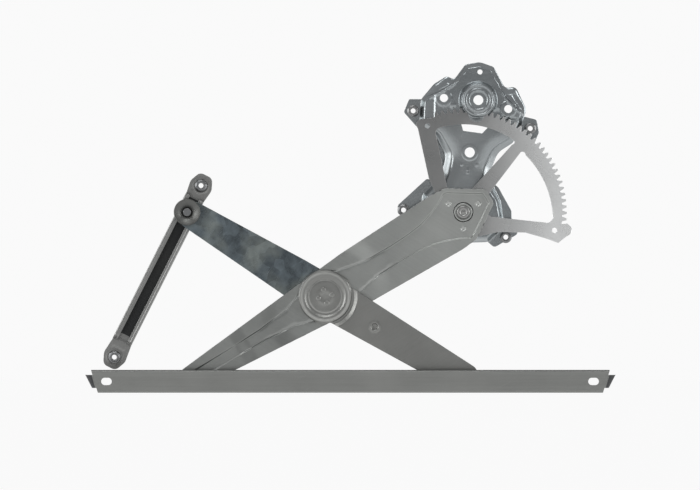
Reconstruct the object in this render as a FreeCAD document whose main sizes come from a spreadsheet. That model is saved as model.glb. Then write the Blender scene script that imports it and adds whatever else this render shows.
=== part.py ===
"""Scissor window regulator: base plate, toothed sector, two crossed arms, glass rail and guide channel.

Millimetres. X runs along the glass rail, Z is up and -Y is the glass side, which the comments call
forward. Every sub-part is drawn about its own pivot, with heights measured forward of the main pivot's
middle plane, and is then turned and moved into the part's frame. That frame's origin is the middle of
the pinion bore.
"""

import FreeCAD, Part
import math
import os

import Sketcher

# Driving sizes, in millimetres and degrees
SIZES = {
    # Stack of sheets, measured forward of the middle plane
    "door_plane": -16.0,
    "web_front": -5.0,
    "plate_sheet": 1.6,
    "sector_back": -3.3,
    "sector_sheet": 2.5,
    "arm_sheet": 2.0,
    "rear_sheet": 2.5,
    "turning_gap": 0.3,
    "rim_rise": 2.0,
    "joggle_rise": 2.5,
    # Gear
    "module_size": 2.0,
    "full_circle_teeth": 102,
    "sector_teeth": 32,
    "pinion_teeth": 11,
    "pressure_angle": 20.0,
    "sector_first_angle": -4.0,
    "pinion_angle": 82.4,
    # Scissor linkage
    "half_arm": 162.0,
    "rest_angle": 31.4,
    # Main pivot
    "pivot_shank": 5.0,
    "pivot_running_fit": 0.05,
    "pivot_head": 6.4,
    "pivot_head_rise": 2.0,
    "bush_radius": 10.0,
    "tail_radius": 7.0,
    "tail_rise": 2.0,
    "clinch_circle": 17.0,
    "clinch_radius": 2.4,
    "clinch_head": 3.3,
    "clinch_rise": 0.6,
    # Base plate
    "skirt_slope": 5.0,
    "skirt_wall": 1.9,
    "boss_front": 5.5,
    "boss_top_radius": 16.0,
    "boss_foot_radius": 18.5,
    "boss_dish_radius": 9.0,
    "boss_dish_depth": 0.9,
    "pinion_bore": 4.9,
    "tongue_back": 0.0,
    "tongue_half_width": 7.0,
    "tongue_reach": 22.0,
    "window_clearance": 1.3,
    "screw_pad_radius": 8.5,
    "screw_pad_rise": 0.8,
    "side_screw_hole": 4.0,
    "middle_screw_hole": 5.0,
    "locating_hole": 2.5,
    # Nuts welded to the lugs
    "nut_thread": 2.5,
    "nut_hole": 3.3,
    "nut_flange": 6.0,
    "nut_flange_rise": 1.2,
    "nut_flats": 10.0,
    "nut_height": 5.0,
    # Lift arm
    "arm_hub_half_width": 30.0,
    "arm_waist_half_width": 28.5,
    "arm_tip_half_width": 12.0,
    "arm_hub_reach": 31.0,
    "arm_rim_width": 7.0,
    "arm_channel": 10.2,
    "arm_channel_tip": 5.6,
    "arm_joggle_start": 250.0,
    "joggle_run": 16.0,
    "middle_flat": 46.0,
    # Balance arm
    "hub_radius": 14.0,
    "hub_running_fit": 0.1,
    "disc_radius": 26.7,
    "cup_outer": 25.0,
    "cup_inner": 19.2,
    "cup_rise": 3.0,
    "front_half_width": 20.5,
    "front_tip_half_width": 15.5,
    "front_joggle_start": 32.0,
    "dimple_reach": 58.0,
    "dimple_radius": 3.5,
    "dimple_depth": 1.2,
    "rear_half_width": 20.5,
    "rear_tip_half_width": 14.0,
    "middle_rivet_circle": 7.0,
    "middle_rivet_radius": 1.8,
    "middle_rivet_head": 2.6,
    "middle_rivet_rise": 0.6,
    # Rollers and their studs
    "roller_stud": 3.0,
    "roller_fit": 0.1,
    "roller_gap": 0.3,
    "roller_end_gap": 0.6,
    "stud_collar": 5.0,
    "stud_head": 5.0,
    "stud_head_rise": 0.8,
    "guide_washer_radius": 13.3,
    "guide_washer_rise": 1.2,
    "guide_rivet_radius": 4.0,
    "guide_rivet_rise": 1.2,
    "guide_collar_radius": 7.0,
    # Glass rail
    "rail_left": -368.0,
    "rail_length": 510.0,
    "rail_height": 22.5,
    "rail_back": 8.5,
    "rail_depth": 11.5,
    "rail_sheet": 1.5,
    "rail_slot": 12.4,
    "rail_bend": 1.8,
    "rail_hole_spacing": 485.2,
    "rail_hole_first": 12.0,
    "rail_hole_height": 7.3,
    "rail_hole_length": 10.6,
    "stop_reach": 9.0,
    "stop_half_width": 6.5,
    # Guide channel
    "channel_angle": 243.2,
    "channel_width": 20.0,
    "channel_sheet": 1.5,
    "channel_front": -6.0,
    "channel_slot": 10.0,
    "channel_start": -17.0,
    "channel_end": 146.0,
    "ear_spacing": 193.0,
    "upper_ear_reach": 30.0,
    "ear_radius": 11.5,
}

doc = FreeCAD.newDocument("window_regulator")
sheet = doc.addObject("Spreadsheet::Sheet", "sizes")
for row, (alias, amount) in enumerate(SIZES.items(), start=1):
    sheet.set(f"A{row}", alias)
    sheet.set(f"B{row}", str(amount))
    sheet.setAlias(f"B{row}", alias)
doc.recompute()


def size(alias):
    """The value of a named cell, as a plain number."""
    return float(sheet.get(alias))


def cell(alias):
    """The same cell, as it is written in an expression."""
    return f"sizes.{alias}"


# Heights that follow from the stack, each with the expression that binds it
WEB_BACK = "sizes.web_front - sizes.plate_sheet"
LUG_FRONT = "sizes.door_plane + sizes.plate_sheet"
SECTOR_FRONT = "sizes.sector_back + sizes.sector_sheet"
ARM_FRONT = f"{SECTOR_FRONT} + sizes.arm_sheet"
FRONT_HALF_BACK = f"{ARM_FRONT} + sizes.turning_gap"
REAR_HALF_BACK = f"{SECTOR_FRONT} - sizes.turning_gap - sizes.rear_sheet"
TIP_BACK = f"{FRONT_HALF_BACK} + sizes.joggle_rise"
TIP_FRONT = f"{TIP_BACK} + sizes.arm_sheet"
RAIL_FRONT = "sizes.rail_back + sizes.rail_depth"
HUB_LENGTH = "(sizes.arm_sheet + 2 * sizes.turning_gap)"


def height(expression):
    """The number that an expression of the sheet's cells stands for."""
    return float(sheet.evalExpression(expression))


def polar(radius, degrees, centre=(0.0, 0.0)):
    """The point at a radius and an angle about a centre."""
    angle = math.radians(degrees)
    return centre[0] + radius * math.cos(angle), centre[1] + radius * math.sin(angle)


CENTRE_DISTANCE = size("module_size") * (size("full_circle_teeth") + size("pinion_teeth")) / 2
BORE = polar(CENTRE_DISTANCE, size("pinion_angle"))
MIDDLE = polar(size("half_arm"), 180.0 + size("rest_angle"))
LIFT_END = (2 * MIDDLE[0], 2 * MIDDLE[1])
RAIL_END = (0.0, 2 * MIDDLE[1])
GUIDE_END = (2 * MIDDLE[0], 0.0)
BORE_MIDDLE_HEIGHT = size("boss_front") - size("boss_dish_depth") - size("plate_sheet") / 2


# Bodies, sketches and features

def place(part, pivot=(0.0, 0.0), degrees=0.0):
    """Turns a sub-part about its own pivot and moves it into the frame of the pinion bore."""
    spot = FreeCAD.Vector(pivot[0] - BORE[0], BORE_MIDDLE_HEIGHT, pivot[1] - BORE[1])
    part.Placement = FreeCAD.Placement(spot, FreeCAD.Rotation(FreeCAD.Vector(0, -1, 0), degrees))


def new_body(name):
    """An empty body, whose label names the sub-part."""
    body = doc.addObject("PartDesign::Body", name)
    body.Label = name
    return body


def new_sketch(body, name, plane, offset):
    """A sketch on one of the body's own planes, at an offset along the plane's normal."""
    sketch = body.newObject("Sketcher::SketchObject", name)
    support = [f for f in body.Origin.OriginFeatures if f.Role == plane][0]
    sketch.AttachmentSupport = [(support, "")]
    sketch.MapMode = "FlatFace"
    sketch.setExpression("AttachmentOffset.Base.z", offset)
    return sketch


def front_sketch(body, name, offset):
    """A sketch that faces forward, at a height of the stack."""
    return new_sketch(body, name, "XZ_Plane", offset)


def add_path(sketch, pieces):
    """Adds a closed run of lines and arcs, each joined to the next."""
    for piece in pieces:
        if len(piece) == 2:
            start, end = (FreeCAD.Vector(*p, 0) for p in piece)
            sketch.addGeometry(Part.LineSegment(start, end), False)
        else:
            start, middle, end = (FreeCAD.Vector(*p, 0) for p in piece)
            sketch.addGeometry(Part.Arc(start, middle, end), False)


def add_circle(sketch, centre, radius):
    """Adds a circle, with its radius bound to the sheet."""
    spot = FreeCAD.Vector(*centre, 0)
    amount = height(radius)
    index = sketch.addGeometry(Part.Circle(spot, FreeCAD.Vector(0, 0, 1), amount), False)
    bound = sketch.addConstraint(Sketcher.Constraint("Radius", index, amount))
    sketch.setExpression(f"Constraints[{bound}]", radius)


def add_feature(body, kind, name, sketch, length=None, through=False):
    """A pad or a pocket of one sketch, with its length bound to the sheet."""
    feature = body.newObject(f"PartDesign::{kind}", name)
    feature.Profile = sketch
    if through:
        feature.Type = "ThroughAll"
    else:
        feature.setExpression("Length", length)
    return feature


def add_loft(body, kind, name, sketches):
    """A ruled loft through sketches whose outlines match piece by piece."""
    loft = body.newObject(f"PartDesign::{kind}", name)
    loft.Profile = sketches[0]
    loft.Sections = sketches[1:]
    loft.Ruled = True
    return loft


def drill(body, name, centres, radius, from_height):
    """Round holes through the body, from a height backwards."""
    sketch = front_sketch(body, f"{name}_sketch", from_height)
    for centre in centres:
        add_circle(sketch, centre, radius)
    return add_feature(body, "Pocket", name, sketch, through=True)


def disc(body, name, radius, back, length, centres=((0.0, 0.0),)):
    """Round pads that stand forward of a height."""
    sketch = front_sketch(body, f"{name}_sketch", back)
    for centre in centres:
        add_circle(sketch, centre, radius)
    return add_feature(body, "Pad", name, sketch, length)


# Outlines

def signed_area(corners):
    """Twice the area inside a run of corners, positive where they run counter-clockwise."""
    pairs = zip(corners, corners[1:] + corners[:1])
    return sum(a[0] * b[1] - b[0] * a[1] for a, b in pairs)


def rounded(corners):
    """Lines and arcs round a polygon whose corners are (x, z, radius)."""
    count = len(corners)
    stops = []
    for i, (x, z, radius) in enumerate(corners):
        before = corners[i - 1]
        after = corners[(i + 1) % count]
        back = (before[0] - x, before[1] - z)
        ahead = (after[0] - x, after[1] - z)
        reach_back = math.hypot(*back)
        reach_ahead = math.hypot(*ahead)
        back = (back[0] / reach_back, back[1] / reach_back)
        ahead = (ahead[0] / reach_ahead, ahead[1] / reach_ahead)
        half = math.acos(max(-1.0, min(1.0, back[0] * ahead[0] + back[1] * ahead[1]))) / 2
        cut = min(radius / math.tan(half), 0.48 * reach_back, 0.48 * reach_ahead)
        radius = cut * math.tan(half)
        bisector = (back[0] + ahead[0], back[1] + ahead[1])
        scale = math.hypot(*bisector)
        depth = radius / math.sin(half) - radius
        middle = (x + bisector[0] / scale * depth, z + bisector[1] / scale * depth)
        start = (x + back[0] * cut, z + back[1] * cut)
        end = (x + ahead[0] * cut, z + ahead[1] * cut)
        stops.append((start, middle, end))
    pieces = []
    for i, stop in enumerate(stops):
        pieces.append(stop)
        pieces.append((stop[2], stops[(i + 1) % count][0]))
    return pieces


def inset(corners, distance):
    """The same corners with every side moved inwards, each with a radius that keeps the wall even."""
    turn = 1.0 if signed_area(corners) > 0 else -1.0
    count = len(corners)
    sides = []
    for i in range(count):
        a = corners[i]
        b = corners[(i + 1) % count]
        length = math.hypot(b[0] - a[0], b[1] - a[1])
        along = ((b[0] - a[0]) / length, (b[1] - a[1]) / length)
        inward = (-along[1] * turn * distance, along[0] * turn * distance)
        sides.append((a[0] + inward[0], a[1] + inward[1], along))
    moved = []
    for i in range(count):
        ax, az, a = sides[i - 1]
        bx, bz, b = sides[i]
        cross = a[0] * b[1] - a[1] * b[0]
        reach = ((bx - ax) * b[1] - (bz - az) * b[0]) / cross
        convex = cross * turn > 0
        radius = corners[i][2] - distance if convex else corners[i][2] + distance
        moved.append((ax + a[0] * reach, az + a[1] * reach, max(radius, 0.6)))
    return moved


def mirrored(corners):
    """A run of corners above the axis, with its mirror image below."""
    return corners + [(x, -z, radius) for x, z, radius in reversed(corners)]


def slot(centre, length, width, degrees=0.0):
    """A slot with round ends about a centre."""
    radius = width / 2
    reach = length / 2 - radius
    right = polar(reach, degrees, centre)
    left = polar(reach, degrees + 180.0, centre)
    top_right = polar(radius, degrees + 90.0, right)
    low_right = polar(radius, degrees - 90.0, right)
    top_left = polar(radius, degrees + 90.0, left)
    low_left = polar(radius, degrees - 90.0, left)
    return [
        (low_right, polar(radius, degrees, right), top_right),
        (top_right, top_left),
        (top_left, polar(radius, degrees + 180.0, left), low_left),
        (low_left, low_right),
    ]


# Base plate

# The drawn pan's rim, counter-clockwise from the lower right about the main pivot
SKIRT = [
    (42.0, -14.0, 7.0),
    (38.0, 12.0, 9.0),
    (25.5, 36.0, 18.0),
    (35.0, 60.0, 18.0),
    (50.0, 69.5, 9.0),
    (58.0, 84.0, 7.0),
    (64.0, 103.0, 12.0),
    (53.0, 126.5, 6.0),
    (42.5, 124.5, 5.0),
    (31.0, 146.0, 5.0),
    (17.0, 151.0, 14.0),
    (2.5, 148.5, 5.0),
    (-9.0, 133.0, 6.0),
    (-16.0, 137.0, 5.0),
    (-29.0, 129.0, 14.0),
    (-42.5, 113.0, 9.0),
    (-44.0, 88.0, 8.0),
    (-27.0, 77.0, 12.0),
    (-17.0, 57.0, 16.0),
    (-22.0, 37.0, 14.0),
    (-42.0, 17.0, 10.0),
    (-38.0, -8.0, 9.0),
    (-10.0, -31.0, 14.0),
    (26.0, -30.0, 10.0),
]

LEFT_LUG = (-50.0, 101.8)
RIGHT_LUG = (67.6, 84.1)
LOW_LEFT_LUG = (-59.7, 2.2)
LOW_RIGHT_LUG = (43.0, -25.0)
LUG_CORNERS = {
    "left_lug": [(-38.0, 113.7, 2.0), (-54.0, 113.7, 2.0), (-59.4, 100.5, 2.5),
                 (-46.4, 85.8, 2.5), (-36.0, 88.0, 2.0)],
    "right_lug": [(58.0, 74.0, 2.0), (72.4, 71.0, 3.0), (76.5, 80.0, 3.0),
                  (74.0, 93.0, 3.0), (60.0, 96.5, 2.0)],
    "left_waist_flange": [(-42.0, 90.0, 3.0), (-33.5, 79.0, 8.0), (-28.5, 60.0, 16.0), (-29.5, 40.0, 12.0),
                          (-41.0, 20.0, 3.0), (-20.0, 30.0, 3.0), (-13.0, 57.0, 16.0), (-24.0, 82.0, 3.0)],
    "right_waist_flange": [(31.0, 29.0, 2.0), (36.0, 24.5, 2.0), (48.8, 1.4, 3.0), (49.0, -10.0, 2.0),
                           (36.0, -10.0, 2.0), (34.0, 10.0, 4.0), (26.0, 28.0, 2.0)],
    "low_left_lug": [(-28.0, 30.0, 3.0), (-36.0, 34.0, 3.0), (-65.5, 7.0, 4.0),
                     (-65.5, -1.0, 3.0), (-60.0, -5.0, 3.0), (-30.0, -4.0, 3.0)],
    "low_right_lug": [(30.0, -12.0, 3.0), (24.0, -29.0, 3.0), (31.5, -35.5, 4.0),
                      (56.0, -21.5, 4.0), (50.0, -8.0, 3.0), (36.0, 0.0, 3.0)],
}
LEFT_SCREW = (-19.3, 114.4)
RIGHT_SCREW = (45.2, 103.4)
MIDDLE_SCREW = (6.6, 59.9)
TOP_LOBE_HOLE = (16.9, 140.6)


def pan_loft(body, kind, name, shrink, low, high):
    """The pan's sloping form between two heights, with its sides moved in by a shrink."""
    rim = front_sketch(body, f"{name}_rim", low)
    add_path(rim, rounded(inset(SKIRT, shrink)))
    web = front_sketch(body, f"{name}_web", high)
    add_path(web, rounded(inset(SKIRT, shrink + size("skirt_slope"))))
    return add_loft(body, kind, name, [rim, web])


def round_loft(body, kind, name, radii, heights):
    """A cone about the pinion bore between two heights."""
    sketches = []
    for index, (radius, level) in enumerate(zip(radii, heights)):
        sketch = front_sketch(body, f"{name}_{index}", level)
        add_circle(sketch, BORE, radius)
        sketches.append(sketch)
    return add_loft(body, kind, name, sketches)


def tongue_outline(margin):
    """The slot-shaped tongue below the pinion bore, pointing at the main pivot."""
    length = size("tongue_reach") + size("tongue_half_width") - 2 * margin
    centre = polar((length + 2 * margin) / 2 - size("tongue_half_width"), size("pinion_angle") - 180.0, BORE)
    return slot(centre, length, 2 * (size("tongue_half_width") - margin), size("pinion_angle"))


def sector_window():
    """The opening that lets the sector's rim run between the tongue and the web."""
    reach = size("module_size") * (size("full_circle_teeth") / 2 + 1) + size("window_clearance")
    left = polar(reach, size("pinion_angle") + 10.6)
    right = polar(reach, size("pinion_angle") - 10.6)
    top = polar(reach, size("pinion_angle"))
    low_left = (0.0, 81.6)
    low_right = (19.0, 79.0)
    side_left = (-2.0, 89.0)
    side_right = (26.0, 86.0)
    return [
        (right, top, left),
        (left, side_left),
        (side_left, low_left),
        (low_left, low_right),
        (low_right, side_right),
        (side_right, right),
    ]


def base_plate():
    """The drawn plate: a pan with sloping sides, flat lugs at the door and a boss for the pinion."""
    body = new_body("base_plate")
    pan_loft(body, "AdditiveLoft", "pan", 0.0, cell("door_plane"), cell("web_front"))
    for name, corners in LUG_CORNERS.items():
        sketch = front_sketch(body, f"{name}_sketch", cell("door_plane"))
        add_path(sketch, rounded(corners))
        add_feature(body, "Pad", name, sketch, cell("plate_sheet"))
    round_loft(body, "AdditiveLoft", "boss", [cell("boss_foot_radius"), cell("boss_top_radius")],
               [WEB_BACK, cell("boss_front")])
    tongue = front_sketch(body, "tongue_sketch", WEB_BACK)
    add_path(tongue, tongue_outline(0.0))
    add_feature(body, "Pad", "tongue", tongue, f"sizes.tongue_back + sizes.plate_sheet - ({WEB_BACK})")
    disc(body, "screw_pads", cell("screw_pad_radius"), WEB_BACK,
         "sizes.plate_sheet + sizes.screw_pad_rise", [LEFT_SCREW, RIGHT_SCREW, MIDDLE_SCREW])
    pan_loft(body, "SubtractiveLoft", "pan_inside", size("skirt_wall"), cell("door_plane"), WEB_BACK)
    round_loft(body, "SubtractiveLoft", "boss_inside",
               ["sizes.boss_foot_radius - sizes.plate_sheet", "sizes.boss_top_radius - sizes.plate_sheet"],
               [WEB_BACK, "sizes.boss_front - sizes.boss_dish_depth - sizes.plate_sheet"])
    window = front_sketch(body, "window_sketch", cell("tongue_back"))
    add_path(window, sector_window())
    add_feature(body, "Pocket", "window", window, "sizes.tongue_back - sizes.door_plane")
    dish = front_sketch(body, "dish_sketch", cell("boss_front"))
    add_circle(dish, BORE, cell("boss_dish_radius"))
    add_feature(body, "Pocket", "boss_dish", dish, cell("boss_dish_depth"))
    drill(body, "bore_for_pinion", [BORE], cell("pinion_bore"), cell("boss_front"))
    drill(body, "side_screw_holes", [LEFT_SCREW, RIGHT_SCREW], cell("side_screw_hole"), cell("boss_front"))
    drill(body, "middle_screw_hole_cut", [MIDDLE_SCREW], cell("middle_screw_hole"), cell("boss_front"))
    drill(body, "lobe_hole", [TOP_LOBE_HOLE], cell("locating_hole"), cell("boss_front"))
    drill(body, "nut_holes", [LEFT_LUG, RIGHT_LUG, LOW_LEFT_LUG, LOW_RIGHT_LUG], cell("nut_hole"),
          cell("boss_front"))
    drill(body, "pivot_hole", [(0.0, 0.0)], cell("pivot_shank"), cell("boss_front"))
    place(body)
    return body


def weld_nut(name, centre, back, pivot=(0.0, 0.0), degrees=0.0):
    """A hexagon nut with a round flange, welded on the forward side of a lug."""
    body = new_body(name)
    disc(body, f"{name}_flange", cell("nut_flange"), back, cell("nut_flange_rise"), [centre])
    across = size("nut_flats") / 2 / math.cos(math.radians(30.0))
    corners = [(*polar(across, 60.0 * i, centre), 0.8) for i in range(6)]
    sketch = front_sketch(body, f"{name}_hexagon_sketch", back)
    add_path(sketch, rounded(corners))
    add_feature(body, "Pad", f"{name}_hexagon", sketch, cell("nut_height"))
    drill(body, f"{name}_thread", [centre], cell("nut_thread"), f"{back} + sizes.nut_height")
    place(body, pivot, degrees)
    return body


def pivot_stud():
    """The shouldered rivet at the main pivot, with its tail spread behind the base plate."""
    body = new_body("main_pivot_stud")
    back = f"{WEB_BACK} - sizes.tail_rise"
    disc(body, "tail", cell("tail_radius"), back, cell("tail_rise"))
    head_back = FRONT_HALF_BACK
    disc(body, "shank", cell("pivot_shank"), back, f"{head_back} - ({back})")
    disc(body, "head", cell("pivot_head"), head_back, cell("pivot_head_rise"))
    doc.recompute()
    chamfer_front_edge(body, "head_chamfer", "pivot_head", 0.9)
    place(body)
    return body


def chamfer_front_edge(body, name, radius, amount):
    """Bevels the forward circle of a given radius on the body's last feature."""
    base = body.Tip
    target = size(radius)
    rims = []
    for index, edge in enumerate(base.Shape.Edges, start=1):
        round_edge = isinstance(edge.Curve, Part.Circle) and abs(edge.Curve.Radius - target) < 1e-6
        if round_edge and len(edge.Vertexes) == 1:
            rims.append((edge.BoundBox.YMin, index))
    front = min(rims)[1]
    chamfer = body.newObject("PartDesign::Chamfer", name)
    chamfer.Base = (base, [f"Edge{front}"])
    chamfer.Size = amount
    return chamfer


def ring(name, outer, inner, back, length):
    """A plain washer or bush about the body's own pivot."""
    body = new_body(name)
    sketch = front_sketch(body, f"{name}_sketch", back)
    add_circle(sketch, (0.0, 0.0), outer)
    add_circle(sketch, (0.0, 0.0), inner)
    add_feature(body, "Pad", f"{name}_pad", sketch, length)
    return body


# Toothed sector

TIP_RADIUS = size("module_size") * (size("full_circle_teeth") / 2 + 1)
ROOT_RADIUS = size("module_size") * (size("full_circle_teeth") / 2 - 1.25)
TOOTH_PITCH = 360.0 / size("full_circle_teeth")
LAST_TOOTH_ANGLE = size("sector_first_angle") + (size("sector_teeth") - 1) * TOOTH_PITCH
CLINCH_ANGLES = (28.0, 152.0, 270.0)
CLINCHES = [polar(size("clinch_circle"), angle) for angle in CLINCH_ANGLES]
RIGHT_LOBE_HOLE = (91.4, -18.2)
LEFT_LOBE_HOLE = (-35.9, 86.3)


def involute_half_angle(radius):
    """Half of one tooth's width at a radius, in degrees, for an involute flank."""
    pitch_radius = size("module_size") * size("full_circle_teeth") / 2
    pressure = math.radians(size("pressure_angle"))
    base_radius = pitch_radius * math.cos(pressure)
    local = math.acos(base_radius / radius)
    growth = (math.tan(pressure) - pressure) - (math.tan(local) - local)
    return TOOTH_PITCH / 4 + math.degrees(growth)


def tooth_outline():
    """One tooth about its own middle line, with its foot sunk a little into the blank."""
    sink = 0.4
    middle = size("sector_first_angle")
    pitch_radius = size("module_size") * size("full_circle_teeth") / 2
    levels = (ROOT_RADIUS, pitch_radius, TIP_RADIUS)
    right = [polar(r, middle - involute_half_angle(r)) for r in levels]
    left = [polar(r, middle + involute_half_angle(r)) for r in levels]
    foot_right = polar(ROOT_RADIUS - sink, middle - involute_half_angle(ROOT_RADIUS))
    foot_left = polar(ROOT_RADIUS - sink, middle + involute_half_angle(ROOT_RADIUS))
    return [
        (foot_right, right[0]),
        tuple(right),
        (right[2], polar(TIP_RADIUS, middle), left[2]),
        tuple(reversed(left)),
        (left[0], foot_left),
        (foot_left, foot_right),
    ]


def sector_blank():
    """The sector's outer edge without its teeth."""
    start_angle = size("sector_first_angle") - 0.8 * TOOTH_PITCH
    end_angle = LAST_TOOTH_ANGLE + 0.8 * TOOTH_PITCH
    start = polar(ROOT_RADIUS, start_angle)
    end = polar(ROOT_RADIUS, end_angle)
    left_top = (-41.5, 93.5)
    left_leg_top = (-45.5, 84.0)
    left_leg = (-34.5, 34.0)
    hub_left = (-25.0, 12.0)
    hub_bottom = (0.0, -26.5)
    hub_right = (14.4, -24.2)
    bottom = (35.6, -19.8)
    bottom_right = (62.1, -20.5)
    lobe_low = (82.6, -26.4)
    lobe_left = (95.1, -31.0)
    lobe_corner = (107.8, -21.0)
    lobe_right = (108.5, -15.2)
    lobe_top = (104.0, -11.3)
    return [
        (start, polar(ROOT_RADIUS, (start_angle + end_angle) / 2), end),
        (end, left_top),
        (left_top, (-46.5, 90.0), left_leg_top),
        (left_leg_top, left_leg),
        (left_leg, hub_left),
        (hub_left, (-20.5, -17.0), hub_bottom),
        (hub_bottom, hub_right),
        (hub_right, bottom),
        (bottom, bottom_right),
        (bottom_right, lobe_low),
        (lobe_low, lobe_left),
        (lobe_left, lobe_corner),
        (lobe_corner, lobe_right),
        (lobe_right, lobe_top),
        (lobe_top, start),
    ]


def left_window():
    """The tall window between the left leg and the spoke."""
    arc_radius = 88.0
    left = polar(arc_radius, 106.0)
    right = polar(arc_radius, 55.5)
    corners_left = ((-27.5, 78.5), (-16.0, 24.0))
    corners_right = ((9.0, 24.0), (26.9, 43.3), (48.9, 67.5))
    floor_left = (-13.5, 21.5)
    floor_right = (6.5, 21.5)
    return [
        (right, polar(arc_radius, 80.0), left),
        (left, (-26.8, 82.6), corners_left[0]),
        corners_left,
        (corners_left[1], floor_left),
        (floor_left, floor_right),
        (floor_right, corners_right[0]),
        (corners_right[0], corners_right[1]),
        (corners_right[1], corners_right[2]),
        (corners_right[2], (51.2, 71.0), right),
    ]


def right_window():
    """The window between the spoke and the lower edge."""
    top = (57.6, 60.0)
    arc_start = (62.5, 57.0)
    arc_end = (89.6, -2.5)
    low_right = (84.5, -10.6)
    low_middle = (53.3, -7.3)
    low_left = (28.4, -4.4)
    hub_low = (24.0, -2.0)
    hub_high = (23.5, 15.5)
    return [
        (low_right, (88.6, -8.0), arc_end),
        (arc_end, (82.6, 27.0), arc_start),
        (arc_start, (60.2, 60.2), top),
        (top, hub_high),
        (hub_high, hub_low),
        (hub_low, low_left),
        (low_left, low_middle),
        (low_middle, low_right),
    ]


def sector_gear():
    """The flat sector, with its teeth cut along the outer arc."""
    body = new_body("sector_gear")
    blank = front_sketch(body, "blank_sketch", cell("sector_back"))
    add_path(blank, sector_blank())
    add_feature(body, "Pad", "blank", blank, cell("sector_sheet"))
    for name, outline in (("left_window", left_window()), ("right_window", right_window())):
        sketch = front_sketch(body, f"{name}_sketch", SECTOR_FRONT)
        add_path(sketch, outline)
        add_feature(body, "Pocket", name, sketch, through=True)
    drill(body, "lobe_holes", [RIGHT_LOBE_HOLE, LEFT_LOBE_HOLE], cell("locating_hole"), SECTOR_FRONT)
    drill(body, "sector_bush_hole", [(0.0, 0.0)], cell("bush_radius"), SECTOR_FRONT)
    drill(body, "sector_clinch_holes", CLINCHES, cell("clinch_radius"), SECTOR_FRONT)
    sketch = front_sketch(body, "tooth_sketch", cell("sector_back"))
    add_path(sketch, tooth_outline())
    tooth = add_feature(body, "Pad", "tooth", sketch, cell("sector_sheet"))
    teeth = body.newObject("PartDesign::PolarPattern", "teeth")
    teeth.Originals = [tooth]
    teeth.Axis = (sketch, ["N_Axis"])
    teeth.Occurrences = int(size("sector_teeth"))
    teeth.Angle = (size("sector_teeth") - 1) * TOOTH_PITCH
    body.Tip = teeth
    place(body)
    return body


# Arms

def bent_strip(body, name, side, half_width):
    """A strip of sheet that follows a side view, wide enough for the outline that trims it."""
    sketch = new_sketch(body, f"{name}_side", "XY_Plane", f"0 - {half_width}")
    add_path(sketch, list(zip(side, side[1:] + side[:1])))
    pad = body.newObject("PartDesign::Pad", name)
    pad.Profile = sketch
    pad.Length = 2 * half_width
    return pad


def side_view(start, end, joggle, low, high, sheet_gauge):
    """The side view of a strip that steps forward from one height to another."""
    run = size("joggle_run")
    return [
        (start, -low),
        (joggle, -low),
        (joggle + run, -high),
        (end, -high),
        (end, -high - sheet_gauge),
        (joggle + run, -high - sheet_gauge),
        (joggle, -low - sheet_gauge),
        (start, -low - sheet_gauge),
    ]


def trim(body, name, corners, front, margin):
    """Cuts away what lies outside an outline."""
    sketch = front_sketch(body, f"{name}_sketch", front)
    left = min(c[0] for c in corners) - margin
    right = max(c[0] for c in corners) + margin
    top = max(c[1] for c in corners) + margin
    low = min(c[1] for c in corners) - margin
    frame = [(left, low), (right, low), (right, top), (left, top)]
    add_path(sketch, list(zip(frame, frame[1:] + frame[:1])))
    add_path(sketch, rounded(corners))
    return add_feature(body, "Pocket", name, sketch, through=True)


def lift_arm_corners():
    """The lift arm's outline about the main pivot, with the arm along the first axis."""
    tip = 2 * size("half_arm")
    return mirrored([
        (-size("arm_hub_reach"), 8.0, 6.0),
        (3.0, size("arm_hub_half_width"), 8.0),
        (20.0, size("arm_hub_half_width") + 1.5, 10.0),
        (size("half_arm") - 36.0, size("arm_waist_half_width"), 30.0),
        (size("half_arm") + 12.0, size("arm_waist_half_width") - 3.8, 40.0),
        (tip, size("arm_tip_half_width"), 30.0),
        (tip + size("arm_tip_half_width"), 0.8 * size("arm_tip_half_width"), 10.0),
    ])


def channel_corners():
    """The sunk middle of the lift arm: as wide as the hub at the pivot, narrow along the arm."""
    hub = size("arm_hub_half_width") - size("arm_rim_width")
    return mirrored([
        (size("arm_rim_width") - size("arm_hub_reach"), 6.0, 4.0),
        (2.0, hub, 7.0),
        (13.0, hub + 0.5, 7.0),
        (30.0, 0.5 * hub + 2.0, 12.0),
        (52.0, size("arm_channel"), 20.0),
        (size("half_arm") - size("middle_flat") + 1.0, size("arm_channel"), 3.0),
        (size("half_arm") + size("middle_flat") - 1.0, 0.85 * size("arm_channel"), 3.0),
        (size("arm_joggle_start") - 10.0, size("arm_channel_tip"), 20.0),
        (size("arm_joggle_start") + 1.0, size("arm_channel_tip"), 3.0),
    ])


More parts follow.
